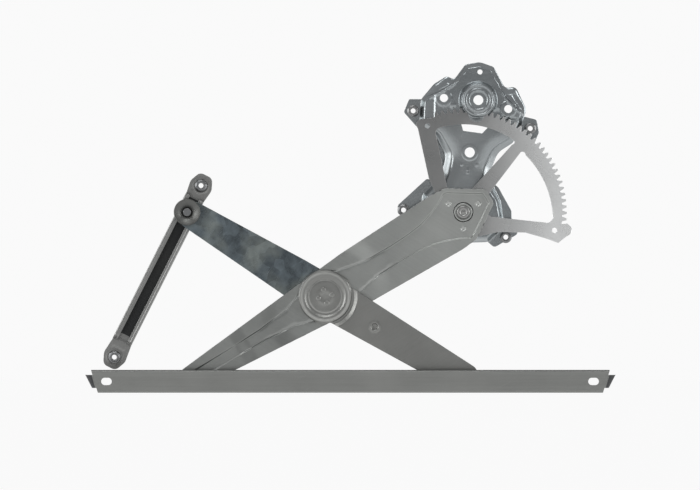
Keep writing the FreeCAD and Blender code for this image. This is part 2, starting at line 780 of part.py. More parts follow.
def lift_arm():
    """The pressed lift arm: a sunk middle on the sector, raised sides and a stepped tip."""
    body = new_body("lift_arm")
    corners = lift_arm_corners()
    margin = 10.0
    low = height(SECTOR_FRONT)
    high = height(TIP_BACK)
    reach = 2 * size("half_arm") + size("arm_tip_half_width") + margin
    side = side_view(-size("arm_hub_reach") - margin, reach, size("arm_joggle_start"), low, high,
                     size("arm_sheet"))
    bent_strip(body, "strip", side, size("arm_hub_half_width") + margin)
    trim(body, "outline", corners, TIP_FRONT, 2 * margin)
    inner = channel_corners()
    for name, start, end in (
        ("hub_edge", -size("arm_hub_reach") - margin, size("half_arm") - size("middle_flat")),
        ("lower_edge", size("half_arm") + size("middle_flat"), size("arm_joggle_start")),
    ):
        raise_edge(body, name, corners, inner, start, end)
    drill(body, "arm_bush_hole", [(0.0, 0.0)], cell("bush_radius"), TIP_FRONT)
    drill(body, "hub_hole", [(size("half_arm"), 0.0)], "sizes.hub_radius + sizes.hub_running_fit", TIP_FRONT)
    drill(body, "lift_stud_hole", [(2 * size("half_arm"), 0.0)], cell("roller_stud"), TIP_FRONT)
    turned = [polar(size("clinch_circle"), angle - 180.0 - size("rest_angle")) for angle in CLINCH_ANGLES]
    drill(body, "arm_clinch_holes", turned, cell("clinch_radius"), TIP_FRONT)
    place(body, degrees=180.0 + size("rest_angle"))
    return body


def width_at(corners, reach):
    """Half the width of a mirrored outline at a distance along it, corners taken as sharp."""
    upper = corners[: len(corners) // 2]
    for (ax, az, _), (bx, bz, _) in zip(upper, upper[1:]):
        if ax <= reach <= bx:
            return az + (bz - az) * (reach - ax) / (bx - ax)
    return upper[0][1]


def raise_edge(body, name, corners, inner, start, end):
    """Adds the raised edge of the arm between two distances, on both sides."""
    upper = [c for c in corners[: len(corners) // 2] if start < c[0] < end]
    lower = [c for c in inner[: len(inner) // 2] if start < c[0] < end]
    closed_hub = start < corners[0][0]
    fade = 9.0
    outer_end = (end - fade, width_at(corners, end - fade), 3.0)
    inner_end = (end, width_at(inner, end), 3.0)
    sketch = front_sketch(body, f"{name}_sketch", ARM_FRONT)
    if closed_hub:
        right = upper + [outer_end, inner_end] + list(reversed(lower))
        left = [(x, -z, r) for x, z, r in reversed(right)]
        add_path(sketch, rounded(right[: len(right)] + left))
    else:
        outer_start = (start + fade, width_at(corners, start + fade), 3.0)
        inner_start = (start, width_at(inner, start), 3.0)
        band = [outer_start] + upper + [outer_end, inner_end] + list(reversed(lower)) + [inner_start]
        add_path(sketch, rounded(band))
        add_path(sketch, rounded([(x, -z, r) for x, z, r in reversed(band)]))
    return add_feature(body, "Pad", name, sketch, cell("rim_rise"))


def clinches():
    """The three clinched joints that hold the arm on the sector."""
    body = new_body("arm_clinches")
    disc(body, "clinch_pins", cell("clinch_radius"), cell("sector_back"),
         "sizes.sector_sheet + sizes.arm_sheet + sizes.clinch_rise", CLINCHES)
    disc(body, "clinch_heads", cell("clinch_head"), ARM_FRONT, cell("clinch_rise"), CLINCHES)
    place(body)
    return body


def front_arm_corners():
    """The front half arm's outline about the middle of the X."""
    tip = size("half_arm")
    disc_radius = size("disc_radius")
    corner = disc_radius * math.tan(math.radians(22.5))
    neck = size("front_half_width")
    return mirrored([
        (-disc_radius, corner, disc_radius),
        (-corner, disc_radius, disc_radius),
        (corner, disc_radius, disc_radius),
        (disc_radius + corner - neck, neck, 4.0),
        (tip, size("front_tip_half_width"), 30.0),
        (tip + 15.0, 10.0, 9.0),
    ])


def equalizer_front_arm():
    """The front half arm, with the raised cup at the middle of the X and a stepped tip."""
    body = new_body("equalizer_front_arm")
    corners = front_arm_corners()
    margin = 10.0
    low = height(FRONT_HALF_BACK)
    high = height(TIP_BACK)
    side = side_view(-size("disc_radius") - margin, size("half_arm") + 15.0 + margin,
                     size("front_joggle_start"), low, high, size("arm_sheet"))
    bent_strip(body, "strip", side, size("disc_radius") + margin)
    trim(body, "outline", corners, TIP_FRONT, 2 * margin)
    cup = front_sketch(body, "cup_sketch", FRONT_HALF_BACK)
    add_circle(cup, (0.0, 0.0), cell("cup_outer"))
    add_circle(cup, (0.0, 0.0), cell("cup_inner"))
    add_feature(body, "Pad", "cup", cup, "sizes.arm_sheet + sizes.cup_rise")
    dimple = front_sketch(body, "dimple_sketch", TIP_FRONT)
    add_circle(dimple, (size("dimple_reach"), 0.0), cell("dimple_radius"))
    add_feature(body, "Pocket", "dimple", dimple, cell("dimple_depth"))
    drill(body, "rail_stud_hole", [(size("half_arm"), 0.0)], cell("roller_stud"), TIP_FRONT)
    drill(body, "front_rivet_holes", middle_rivets(), cell("middle_rivet_radius"), TIP_FRONT)
    place(body, MIDDLE, -size("rest_angle"))
    return body


def middle_rivets():
    """The four rivets round the middle of the X, in the half arms' own frames."""
    return [polar(size("middle_rivet_circle"), 45.0 + 90.0 * i) for i in range(4)]


def equalizer_rear_arm():
    """The flat rear half arm, which carries the guide roller."""
    body = new_body("equalizer_rear_arm")
    tip = size("half_arm")
    corners = mirrored([
        (-20.0, 12.0, 12.0),
        (-6.0, size("rear_half_width") + 1.0, 16.0),
        (36.0, size("rear_half_width"), 24.0),
        (tip - 4.0, size("rear_tip_half_width"), 12.0),
        (tip + size("rear_tip_half_width") - 2.0, 0.62 * size("rear_tip_half_width"), 9.0),
    ])
    sketch = front_sketch(body, "rear_sketch", REAR_HALF_BACK)
    add_path(sketch, rounded(corners))
    add_feature(body, "Pad", "rear_pad", sketch, cell("rear_sheet"))
    front = f"{REAR_HALF_BACK} + sizes.rear_sheet"
    drill(body, "guide_stud_hole", [(tip, 0.0)], cell("roller_stud"), front)
    drill(body, "rear_rivet_holes", middle_rivets(), cell("middle_rivet_radius"), front)
    place(body, MIDDLE, 180.0 - size("rest_angle"))
    return body


def centre_hub():
    """The hub that joins the two half arms through the lift arm."""
    body = new_body("centre_hub")
    back = f"{SECTOR_FRONT} - sizes.turning_gap"
    disc(body, "hub", cell("hub_radius"), back, HUB_LENGTH)
    drill(body, "hub_rivet_holes", middle_rivets(), cell("middle_rivet_radius"), FRONT_HALF_BACK)
    place(body, MIDDLE, -size("rest_angle"))
    return body


def centre_rivets():
    """The four rivets that hold the half arms and the hub together."""
    body = new_body("centre_rivets")
    grip = f"sizes.rear_sheet + {HUB_LENGTH} + sizes.arm_sheet"
    disc(body, "rivet_shanks", cell("middle_rivet_radius"), REAR_HALF_BACK,
         f"{grip} + sizes.middle_rivet_rise", middle_rivets())
    disc(body, "rivet_heads", cell("middle_rivet_head"), f"{FRONT_HALF_BACK} + sizes.arm_sheet",
         cell("middle_rivet_rise"), middle_rivets())
    place(body, MIDDLE, -size("rest_angle"))
    return body


# Rollers and their studs

def rail_stud(name, pivot):
    """A shouldered stud on an arm's tip, which carries a roller inside the glass rail."""
    body = new_body(name)
    head_back = f"{RAIL_FRONT} - sizes.rail_sheet - sizes.roller_end_gap - sizes.stud_head_rise"
    collar_front = "sizes.rail_back + sizes.rail_sheet + sizes.roller_end_gap - sizes.roller_gap"
    disc(body, f"{name}_shank", cell("roller_stud"), TIP_BACK, f"{head_back} - ({TIP_BACK})")
    disc(body, f"{name}_collar", cell("stud_collar"), TIP_FRONT, f"{collar_front} - ({TIP_FRONT})")
    disc(body, f"{name}_head", cell("stud_head"), head_back, cell("stud_head_rise"))
    place(body, pivot)
    return body


def rail_roller(name, pivot):
    """A roller that runs inside the glass rail."""
    back = "sizes.rail_back + sizes.rail_sheet + sizes.roller_end_gap"
    front = f"{RAIL_FRONT} - sizes.rail_sheet - sizes.roller_end_gap - sizes.stud_head_rise - sizes.roller_gap"
    body = ring(name, "sizes.rail_height / 2 - sizes.rail_sheet - sizes.roller_gap",
                "sizes.roller_stud + sizes.roller_fit", back, f"{front} - ({back})")
    place(body, pivot)
    return body


CHANNEL_LIP_BACK = "sizes.channel_front - sizes.channel_sheet"
CHANNEL_FLOOR = "sizes.door_plane + sizes.channel_sheet"


def guide_stud():
    """The stud on the rear half arm, which carries the roller of the guide channel."""
    body = new_body("guide_roller_stud")
    back = f"{CHANNEL_FLOOR} + sizes.roller_end_gap"
    washer_front = f"{REAR_HALF_BACK} + sizes.rear_sheet + sizes.guide_washer_rise"
    disc(body, "guide_shank", cell("roller_stud"), back, f"{washer_front} - ({back})")
    disc(body, "guide_tail", cell("stud_head"), back, cell("stud_head_rise"))
    neck_back = f"{CHANNEL_LIP_BACK} - sizes.roller_end_gap + sizes.roller_gap"
    disc(body, "guide_neck", "sizes.stud_collar - 1", neck_back, f"{REAR_HALF_BACK} - ({neck_back})")
    collar_back = "sizes.channel_front + sizes.turning_gap"
    disc(body, "guide_collar", cell("guide_collar_radius"), collar_back,
         f"{REAR_HALF_BACK} - ({collar_back})")
    disc(body, "guide_rivet", cell("guide_rivet_radius"), washer_front, cell("guide_rivet_rise"))
    place(body, GUIDE_END)
    return body


def guide_washer():
    """The large washer under the head of the guide roller's stud."""
    body = ring("guide_washer", cell("guide_washer_radius"), cell("roller_stud"),
                f"{REAR_HALF_BACK} + sizes.rear_sheet", cell("guide_washer_rise"))
    place(body, GUIDE_END)
    return body


def guide_roller():
    """The roller that runs inside the guide channel."""
    back = f"{CHANNEL_FLOOR} + sizes.roller_end_gap + sizes.stud_head_rise + sizes.roller_gap"
    front = f"{CHANNEL_LIP_BACK} - sizes.roller_end_gap"
    body = ring("guide_roller", "sizes.channel_width / 2 - sizes.channel_sheet - sizes.roller_gap",
                "sizes.roller_stud + sizes.roller_fit", back, f"{front} - ({back})")
    place(body, GUIDE_END)
    return body


# Glass rail and guide channel

def lipped_section(lips, web, width, gauge, opening):
    """A channel's section with inward lips, drawn as forward heights against width."""
    toward_web = 1.0 if web > lips else -1.0
    lip_inside = lips + toward_web * gauge
    web_inside = web - toward_web * gauge
    bend = size("rail_bend")
    inner_bend = 0.4
    half = width / 2
    upper = [
        (lips, opening / 2, 0.3),
        (lips, half, bend),
        (web, half, bend),
    ]
    inner = [
        (web_inside, half - gauge, inner_bend),
        (lip_inside, half - gauge, inner_bend),
        (lip_inside, opening / 2, 0.3),
    ]
    corners = upper + [(f, -w, r) for f, w, r in reversed(upper)]
    corners += [(f, -w, r) for f, w, r in reversed(inner)] + inner
    return [(-f, w, r) for f, w, r in corners]


def run_section(body, name, corners, start, length):
    """Pads a channel's section along the first axis."""
    sketch = new_sketch(body, f"{name}_section", "YZ_Plane", start)
    add_path(sketch, rounded(corners))
    return add_feature(body, "Pad", name, sketch, length)


def end_stop(body, name, edge, outward):
    """A tab bent back from the end of the rail's web, which stops the roller."""
    gauge = size("rail_sheet")
    front = height(RAIL_FRONT)
    back = size("rail_back") + gauge
    root = edge - outward * gauge
    tip = edge + outward * size("stop_reach")
    bend = size("rail_bend")
    corners = [
        (root, -front, 0.2),
        (tip, -front, bend),
        (tip, -back, 0.3),
        (tip - outward * gauge, -back, 0.3),
        (tip - outward * gauge, -front + gauge, 0.4),
        (root, -front + gauge, 0.2),
    ]
    sketch = new_sketch(body, f"{name}_side", "XY_Plane", "0 - sizes.stop_half_width")
    add_path(sketch, rounded(corners))
    return add_feature(body, "Pad", name, sketch, "2 * sizes.stop_half_width")


def glass_rail():
    """The rolled channel that is screwed to the glass, open towards the door, with stopped ends."""
    body = new_body("glass_rail")
    section = lipped_section(size("rail_back"), height(RAIL_FRONT), size("rail_height"),
                             size("rail_sheet"), size("rail_slot"))
    run_section(body, "rail", section, cell("rail_left"), cell("rail_length"))
    end_stop(body, "left_stop", size("rail_left"), -1.0)
    end_stop(body, "right_stop", size("rail_left") + size("rail_length"), 1.0)
    first = size("rail_left") + size("rail_hole_first")
    holes = front_sketch(body, "glass_slots_sketch", RAIL_FRONT)
    for x in (first, first + size("rail_hole_spacing")):
        add_path(holes, slot((x, 0.0), size("rail_hole_length"), size("rail_hole_height")))
    add_feature(body, "Pocket", "glass_slots", holes, "2 * sizes.rail_sheet")
    place(body, RAIL_END)
    return body


LOWER_EAR = size("ear_spacing") - size("upper_ear_reach")


def guide_channel():
    """The floor of the guide channel, with a flat ear beyond each end."""
    body = new_body("guide_channel")
    half = size("channel_width") / 2
    ear = size("ear_radius")
    upper = -size("upper_ear_reach")
    outline = mirrored([
        (upper - ear, 0.6 * ear, 0.55 * ear),
        (upper, ear + 0.4, 0.8 * ear),
        (size("channel_start"), half, 6.0),
        (size("channel_end"), half, 6.0),
        (LOWER_EAR, ear + 0.4, 0.8 * ear),
        (LOWER_EAR + ear, 0.6 * ear, 0.55 * ear),
    ])
    floor = front_sketch(body, "floor_sketch", cell("door_plane"))
    add_path(floor, rounded(outline))
    add_feature(body, "Pad", "floor", floor, cell("channel_sheet"))
    drill(body, "ear_holes", [(upper, 0.0), (LOWER_EAR, 0.0)], cell("nut_hole"), CHANNEL_FLOOR)
    place(body, GUIDE_END, size("channel_angle"))
    return body


def guide_side(name, side):
    """A rolled side of the guide channel, standing on its floor, with its lip turned inward."""
    body = new_body(name)
    gauge = size("channel_sheet")
    half = size("channel_width") / 2
    opening = size("channel_slot") / 2
    front = size("channel_front")
    foot = height(CHANNEL_FLOOR)
    corners = [
        (foot, half, 0.2),
        (front, half, size("rail_bend")),
        (front, opening, 0.3),
        (front - gauge, opening, 0.3),
        (front - gauge, half - gauge, 0.4),
        (foot, half - gauge, 0.2),
    ]
    run_section(body, name, [(-f, side * w, r) for f, w, r in corners], cell("channel_start"),
                "sizes.channel_end - sizes.channel_start")
    place(body, GUIDE_END, size("channel_angle"))
    return body


def build():
    """All the sub-parts, base first."""
    parts = [base_plate(), pivot_stud()]
    spacer = ring("pivot_spacer", "sizes.bush_radius + 2", cell("pivot_shank"), cell("web_front"),
                  "sizes.sector_back - sizes.turning_gap - sizes.web_front")
    place(spacer)
    parts.append(spacer)
    for name, centre in (("left_weld_nut", LEFT_LUG), ("right_weld_nut", RIGHT_LUG),
                         ("low_left_weld_nut", LOW_LEFT_LUG), ("low_right_weld_nut", LOW_RIGHT_LUG)):
        parts.append(weld_nut(name, centre, LUG_FRONT))
    bush = ring("pivot_bush", cell("bush_radius"), "sizes.pivot_shank + sizes.pivot_running_fit",
                cell("sector_back"), "sizes.sector_sheet + sizes.arm_sheet")
    place(bush)
    parts += [sector_gear(), lift_arm(), bush, clinches()]
    parts += [rail_stud("lift_roller_stud", LIFT_END), rail_roller("lift_roller", LIFT_END)]
    parts += [equalizer_front_arm(), equalizer_rear_arm(), centre_hub(), centre_rivets()]
    parts += [rail_stud("rail_roller_stud", RAIL_END), rail_roller("rail_roller", RAIL_END)]
    parts += [guide_stud(), guide_washer(), guide_roller()]
    parts += [glass_rail(), guide_channel(), guide_side("guide_left_side", -1.0),
              guide_side("guide_right_side", 1.0)]
    parts.append(weld_nut("upper_guide_nut", (-size("upper_ear_reach"), 0.0), CHANNEL_FLOOR, GUIDE_END,
                          size("channel_angle")))
    parts.append(weld_nut("lower_guide_nut", (LOWER_EAR, 0.0), CHANNEL_FLOOR, GUIDE_END,
                          size("channel_angle")))
    return parts


def export(parts):
    """Checks every object and writes each sub-part to its own file."""
    doc.recompute()
    for thing in doc.Objects:
        if "Invalid" in thing.State or "Error" in thing.State:
            raise RuntimeError(f"{thing.Name} failed: {thing.State}")
    os.makedirs("parts", exist_ok=True)
    for part in parts:
        shape = part.Shape
        if shape.isNull() or not shape.isValid() or not shape.Solids:
            raise RuntimeError(f"{part.Label} has no valid solid")
        shape.exportStep(f"parts/{part.Label}.step")
        print(part.Label, len(shape.Solids), round(shape.Volume, 1))


export(build())
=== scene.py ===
"""Looks of a scissor window regulator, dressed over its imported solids.

Sizes are in millimetres, seen from the main pivot: x runs along the glass rail, z up in the door, and
a forward height runs towards the camera. They turn into metres of the frame when a mesh is made.
"""

import logging
import math
from contextlib import contextmanager
from dataclasses import dataclass, field
from enum import Enum
from typing import Any, Callable, ClassVar, Iterator, Sequence

import bmesh
import bpy
import numpy as np
from mathutils import Matrix, Vector
from mathutils.geometry import delaunay_2d_cdt


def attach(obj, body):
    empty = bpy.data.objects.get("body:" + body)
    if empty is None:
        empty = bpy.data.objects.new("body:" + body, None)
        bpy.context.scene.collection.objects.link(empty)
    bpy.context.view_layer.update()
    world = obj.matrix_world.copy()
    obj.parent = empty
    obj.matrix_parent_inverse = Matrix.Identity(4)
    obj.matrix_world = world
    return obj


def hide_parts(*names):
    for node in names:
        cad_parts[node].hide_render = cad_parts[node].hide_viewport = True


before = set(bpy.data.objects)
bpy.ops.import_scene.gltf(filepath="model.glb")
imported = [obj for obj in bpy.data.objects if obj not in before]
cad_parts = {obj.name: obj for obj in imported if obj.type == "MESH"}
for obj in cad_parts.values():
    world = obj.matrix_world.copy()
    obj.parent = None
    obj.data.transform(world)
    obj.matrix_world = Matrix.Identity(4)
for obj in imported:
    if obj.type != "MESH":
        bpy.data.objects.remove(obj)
LOG = logging.getLogger("window_regulator")

Array = np.ndarray
Triple = tuple[float, float, float]
Point = tuple[float, float]

MM = 0.001
BORE = (14.945, 112.007)
MIDDLE_PLANE = 3.8
HALF_ARM = 162.0
REST_ANGLE = 31.4
BUSH_HOLE = 10.0
PIN_HOLE = 3.0
RIVET_HOLE = 1.8
RIVET_CIRCLE = 7.0
CLINCH_HOLE = 2.4
CLINCH_CIRCLE = 17.0
CLINCH_ANGLES = (28.0, 152.0, 270.0)


def polar(radius: float, degrees: float, centre: Point = (0.0, 0.0)) -> Point:
    """A point at a radius and angle about a centre.

    Args:
        radius: Distance from the centre.
        degrees: Angle from the first axis.
        centre: The centre.

    Returns:
        The point.
    """
    angle = math.radians(degrees)
    return centre[0] + radius * math.cos(angle), centre[1] + radius * math.sin(angle)


SCISSOR_PIN = polar(HALF_ARM, 180.0 + REST_ANGLE)
LIFT_PIN = polar(2 * HALF_ARM, 180.0 + REST_ANGLE)
GUIDE_PIN = (LIFT_PIN[0], 0.0)
MIDDLE_RIVETS = [polar(RIVET_CIRCLE, 45.0 + 90.0 * k) for k in range(4)]


@dataclass(frozen=True)
class Place:
    """Where a piece's own plane lies, seen from the main pivot."""

    x: float = 0.0
    z: float = 0.0
    degrees: float = 0.0

    def to_frame(self, plan: Array, forward: Array) -> Array:
        """Moves points of the piece's plane into the frame.

        Args:
            plan: Rows of two coordinates in the piece's plane.
            forward: The forward height of each point.

        Returns:
            Rows of three coordinates in metres.
        """
        turn = math.radians(self.degrees)
        x = self.x + plan[:, 0] * math.cos(turn) - plan[:, 1] * math.sin(turn)
        z = self.z + plan[:, 0] * math.sin(turn) + plan[:, 1] * math.cos(turn)
        return np.column_stack((x - BORE[0], MIDDLE_PLANE - forward, z - BORE[1])) * MM

    def spots(self, points: Sequence[Point], forward: float = 0.0) -> Array:
        """Points of the piece's plane at one forward height, in the frame."""
        return self.to_frame(np.array(points), np.full(len(points), forward))


PIVOT_PLACE = Place()
LIFT_PLACE = Place(degrees=180.0 + REST_ANGLE)
FRONT_HALF_PLACE = Place(*SCISSOR_PIN, -REST_ANGLE)
REAR_HALF_PLACE = Place(*SCISSOR_PIN, 180.0 - REST_ANGLE)
GUIDE_PLACE = Place(*GUIDE_PIN, 243.2)


# Outlines

def rounded(corners: Sequence[Triple], steps: int = 7) -> Array:
    """A closed outline whose corners are arcs.

    Args:
        corners: Each corner's two coordinates and its radius.
        steps: How many pieces each arc has.

    Returns:
        The outline's points.
    """
    points: list[Array] = []
    count = len(corners)
    for index, (x, y, radius) in enumerate(corners):
        here = np.array((x, y))
        before = np.array(corners[index - 1][:2]) - here
        after = np.array(corners[(index + 1) % count][:2]) - here
        reach = 0.49 * min(np.linalg.norm(before), np.linalg.norm(after))
        before = before / np.linalg.norm(before)
        after = after / np.linalg.norm(after)
        half = math.acos(float(np.clip(before @ after, -1.0, 1.0))) / 2
        if radius <= 0.0 or half > 1.56 or half < 0.02:
            points.append(here)
            continue
        run = min(radius / math.tan(half), reach)
        start, end = here + before * run, here + after * run
        centre = here + (before + after) / np.linalg.norm(before + after) * run / math.cos(half)
        first = math.atan2(*(start - centre)[::-1])
        sweep = (math.atan2(*(end - centre)[::-1]) - first + math.pi) % (2 * math.pi) - math.pi
        size = float(np.linalg.norm(start - centre))
        for k in range(steps + 1):
            angle = first + sweep * k / steps
            points.append(centre + size * np.array((math.cos(angle), math.sin(angle))))
    return np.array(points)


def mirrored(upper: Sequence[Triple]) -> list[Triple]:
    """Triples on one side of the first axis, followed by their mirror images."""
    return list(upper) + [(x, -y, r) for x, y, r in reversed(upper)]


def circle(centre: Point, radius: float, count: int = 48) -> Array:
    """A closed ring of points about a centre."""
    angles = np.arange(count) * 2 * math.pi / count
    return np.column_stack((centre[0] + radius * np.cos(angles), centre[1] + radius * np.sin(angles)))


def rings(centre: Point, radii: Sequence[float], per_mm: int = 5) -> list[Array]:
    """Rings about a centre, with more points on the larger ones."""
    return [circle(centre, radius, int(per_mm * radius)) for radius in radii]


def clinch_holes(turned: float = 0.0) -> list[Array]:
    """The three clinch holes, seen from a sheet that is turned by some degrees."""
    return [circle(polar(CLINCH_CIRCLE, a - turned), CLINCH_HOLE, 20) for a in CLINCH_ANGLES]


def arc_through(first: Point, middle: Point, last: Point, steps: int = 12) -> list[Point]:
    """Points of the arc through three points, the last one left out.

    Args:
        first: Where the arc starts.
        middle: A point on it.
        last: Where it ends.
        steps: How many pieces it has.

    Returns:
        The points, without the last.
    """
    (ax, ay), (bx, by), (cx, cy) = first, middle, last
    double = 2 * (ax * (by - cy) + bx * (cy - ay) + cx * (ay - by))
    x = ((ax * ax + ay * ay) * (by - cy) + (bx * bx + by * by) * (cy - ay)
         + (cx * cx + cy * cy) * (ay - by)) / double
    y = ((ax * ax + ay * ay) * (cx - bx) + (bx * bx + by * by) * (ax - cx)
         + (cx * cx + cy * cy) * (bx - ax)) / double
    start = math.atan2(ay - y, ax - x)
    through = (math.atan2(by - y, bx - x) - start) % (2 * math.pi)
    sweep = (math.atan2(cy - y, cx - x) - start) % (2 * math.pi)
    if through > sweep:
        sweep -= 2 * math.pi
    radius = math.hypot(ax - x, ay - y)
    turns = [start + sweep * k / steps for k in range(steps)]
    return [(x + radius * math.cos(turn), y + radius * math.sin(turn)) for turn in turns]


def path_of(start: Point, *legs: Sequence[Point]) -> Array:
    """An outline from lines and arcs that follow one another.

    Args:
        start: Where the first leg starts.
        legs: For a line its end, for an arc a point on it and its end.

    Returns:
        The points, without the last leg's end.
    """
    points: list[Point] = []
    for leg in legs:
        points += [start] if len(leg) == 1 else arc_through(start, *leg)
        start = leg[-1]
    return np.array(points)


def apart(points: Array, place: Point) -> Array:
    """How far points lie from a place."""
    return np.hypot(points[:, 0] - place[0], points[:, 1] - place[1])


def refined(loop: Array, pitch: float) -> Array:
    """The same outline with no edge longer than a pitch.

    Args:
        loop: The outline.
        pitch: The longest edge that is kept.

    Returns:
        The outline with points added on its long edges.
    """
    points: list[Array] = []
    for start, end in zip(loop, np.roll(loop, -1, axis=0)):
        pieces = max(1, math.ceil(float(np.linalg.norm(end - start)) / pitch))
        points += [start + (end - start) * k / pieces for k in range(pieces)]
    return np.array(points)


def distance(points: Array, loop: Array) -> Array:
    """How far points lie from a closed outline.

    Args:
        points: Rows of two coordinates.
        loop: The outline.

    Returns:
        One distance for each point.
    """
    best = np.full(len(points), 1e9)
    for start, end in zip(loop, np.roll(loop, -1, axis=0)):
        along = end - start
        length = max(float(along @ along), 1e-12)
        share = np.clip(((points - start) @ along) / length, 0.0, 1.0)
        best = np.minimum(best, np.hypot(*(points - start - share[:, None] * along).T))
    return best


def inside(points: Array, loop: Array) -> Array:
    """Whether points lie inside a closed outline.

    Args:
        points: Rows of two coordinates.
        loop: The outline.

    Returns:
        One truth value for each point.
    """
    result = np.zeros(len(points), bool)
    for (ax, ay), (bx, by) in zip(loop, np.roll(loop, -1, axis=0)):
        if ay == by:
            continue
        crosses = (ay > points[:, 1]) != (by > points[:, 1])
        result ^= crosses & (points[:, 0] < (bx - ax) * (points[:, 1] - ay) / (by - ay) + ax)
    return result


def depth(points: Array, loop: Array) -> Array:
    """Distance from an outline, above nought inside it."""
    return np.where(inside(points, loop), 1.0, -1.0) * distance(points, loop)


def inset(loop: Array, amount: float, pitch: float) -> Array:
    """Points along a line inside an outline.

    Args:
        loop: The outline.
        amount: How far inside the line runs.
        pitch: The spacing of the points.

    Returns:
        The points, without those that a corner crowds.
    """
    fine = refined(loop, pitch)
    along = np.roll(fine, -1, axis=0) - np.roll(fine, 1, axis=0)
    inward = np.column_stack((-along[:, 1], along[:, 0])) / np.maximum(np.hypot(*along.T), 1e-9)[:, None]
    area = np.sum(loop[:, 0] * np.roll(loop[:, 1], -1) - np.roll(loop[:, 0], -1) * loop[:, 1])
    moved = fine + inward * amount * np.sign(area)
    return moved[depth(moved, fine) > 0.9 * amount]


def step(value: Array, width: float) -> Array:
    """A soft step from 0 to 1 over a width about nought."""
    share = np.clip(value / width + 0.5, 0.0, 1.0)
    return share * share * (3 - 2 * share)


def ramp(value: Array, start: float, end: float) -> Array:
    """A soft step from 0 at the start to 1 at the end."""
    return step(value - (start + end) / 2, end - start)


def ridge(value: Array, width: float) -> Array:
    """A soft ridge, 1 high, where the value is nought."""
    return np.exp(-(value / width) ** 2)


def pad(points: Array, centre: Point, radius: float) -> Array:
    """A round pad with a soft edge, 1 high at its centre."""
    return np.exp(-(apart(points, centre) / radius) ** 4)


# Meshes

def new_piece(name: str, mesh: bpy.types.Mesh) -> bpy.types.Object:
    """Puts a mesh into the scene as an object at the origin."""
    piece = bpy.data.objects.new(name, mesh)
    bpy.context.scene.collection.objects.link(piece)
    return piece


def settled(piece: bpy.types.Object) -> bpy.types.Object:
    """Applies an object's modifiers.

    Args:
        piece: The object.

    Returns:
        The same object with a plain mesh and no modifier.
    """
    graph = bpy.context.evaluated_depsgraph_get()
    mesh = bpy.data.meshes.new_from_object(piece.evaluated_get(graph), preserve_all_data_layers=True,
                                           depsgraph=graph)
    piece.modifiers.clear()
    piece.data = mesh
    return piece


def smooth(mesh: bpy.types.Mesh) -> None:
    """Shades all faces of a mesh smooth."""
    mesh.polygons.foreach_set("use_smooth", [True] * len(mesh.polygons))


def evened(piece: bpy.types.Object) -> bpy.types.Object:
    """Evens the shading across an object's large faces, and applies its modifiers."""
    smooth(piece.data)
    weight = piece.modifiers.new("even_faces", "WEIGHTED_NORMAL")
    weight.weight = 80
    return settled(piece)


@contextmanager
def opened(source: bpy.types.Mesh, into: bpy.types.Mesh | None = None) -> Iterator[bmesh.types.BMesh]:
    """Opens a mesh for editing, and writes it back.

    Args:
        source: The mesh that is read.
        into: The mesh that is written, where that is another one.

    Yields:
        The mesh as a bmesh.
    """
    work = bmesh.new()
    work.from_mesh(source)
    yield work
    work.to_mesh(source if into is None else into)
    work.free()


def open_edges(triangles: Array) -> list[tuple[int, int]]:
    """The edges that only one triangle has, in that triangle's direction."""
    directed = {(t[k], t[(k + 1) % 3]) for t in triangles.tolist() for k in range(3)}
    return [(i, j) for i, j in directed if (j, i) not in directed]


def inward_ways(plan: Array, rim: Sequence[tuple[int, int]]) -> Array:
    """The way into a sheet at each point of its rim.

    Args:
        plan: The sheet's points.
        rim: Pairs of points along the rim.

    Returns:
        A way for each point, nought away from the rim and longer at sharp corners.
    """
    inward = np.zeros_like(plan)
    for i, j in rim:
        along = plan[j] - plan[i]
        normal = np.array((-along[1], along[0])) / max(float(np.linalg.norm(along)), 1e-9)
        inward[i] += normal
        inward[j] += normal
    for way in inward:
        way /= max(float(way @ way) / 2, 0.5)
    return inward


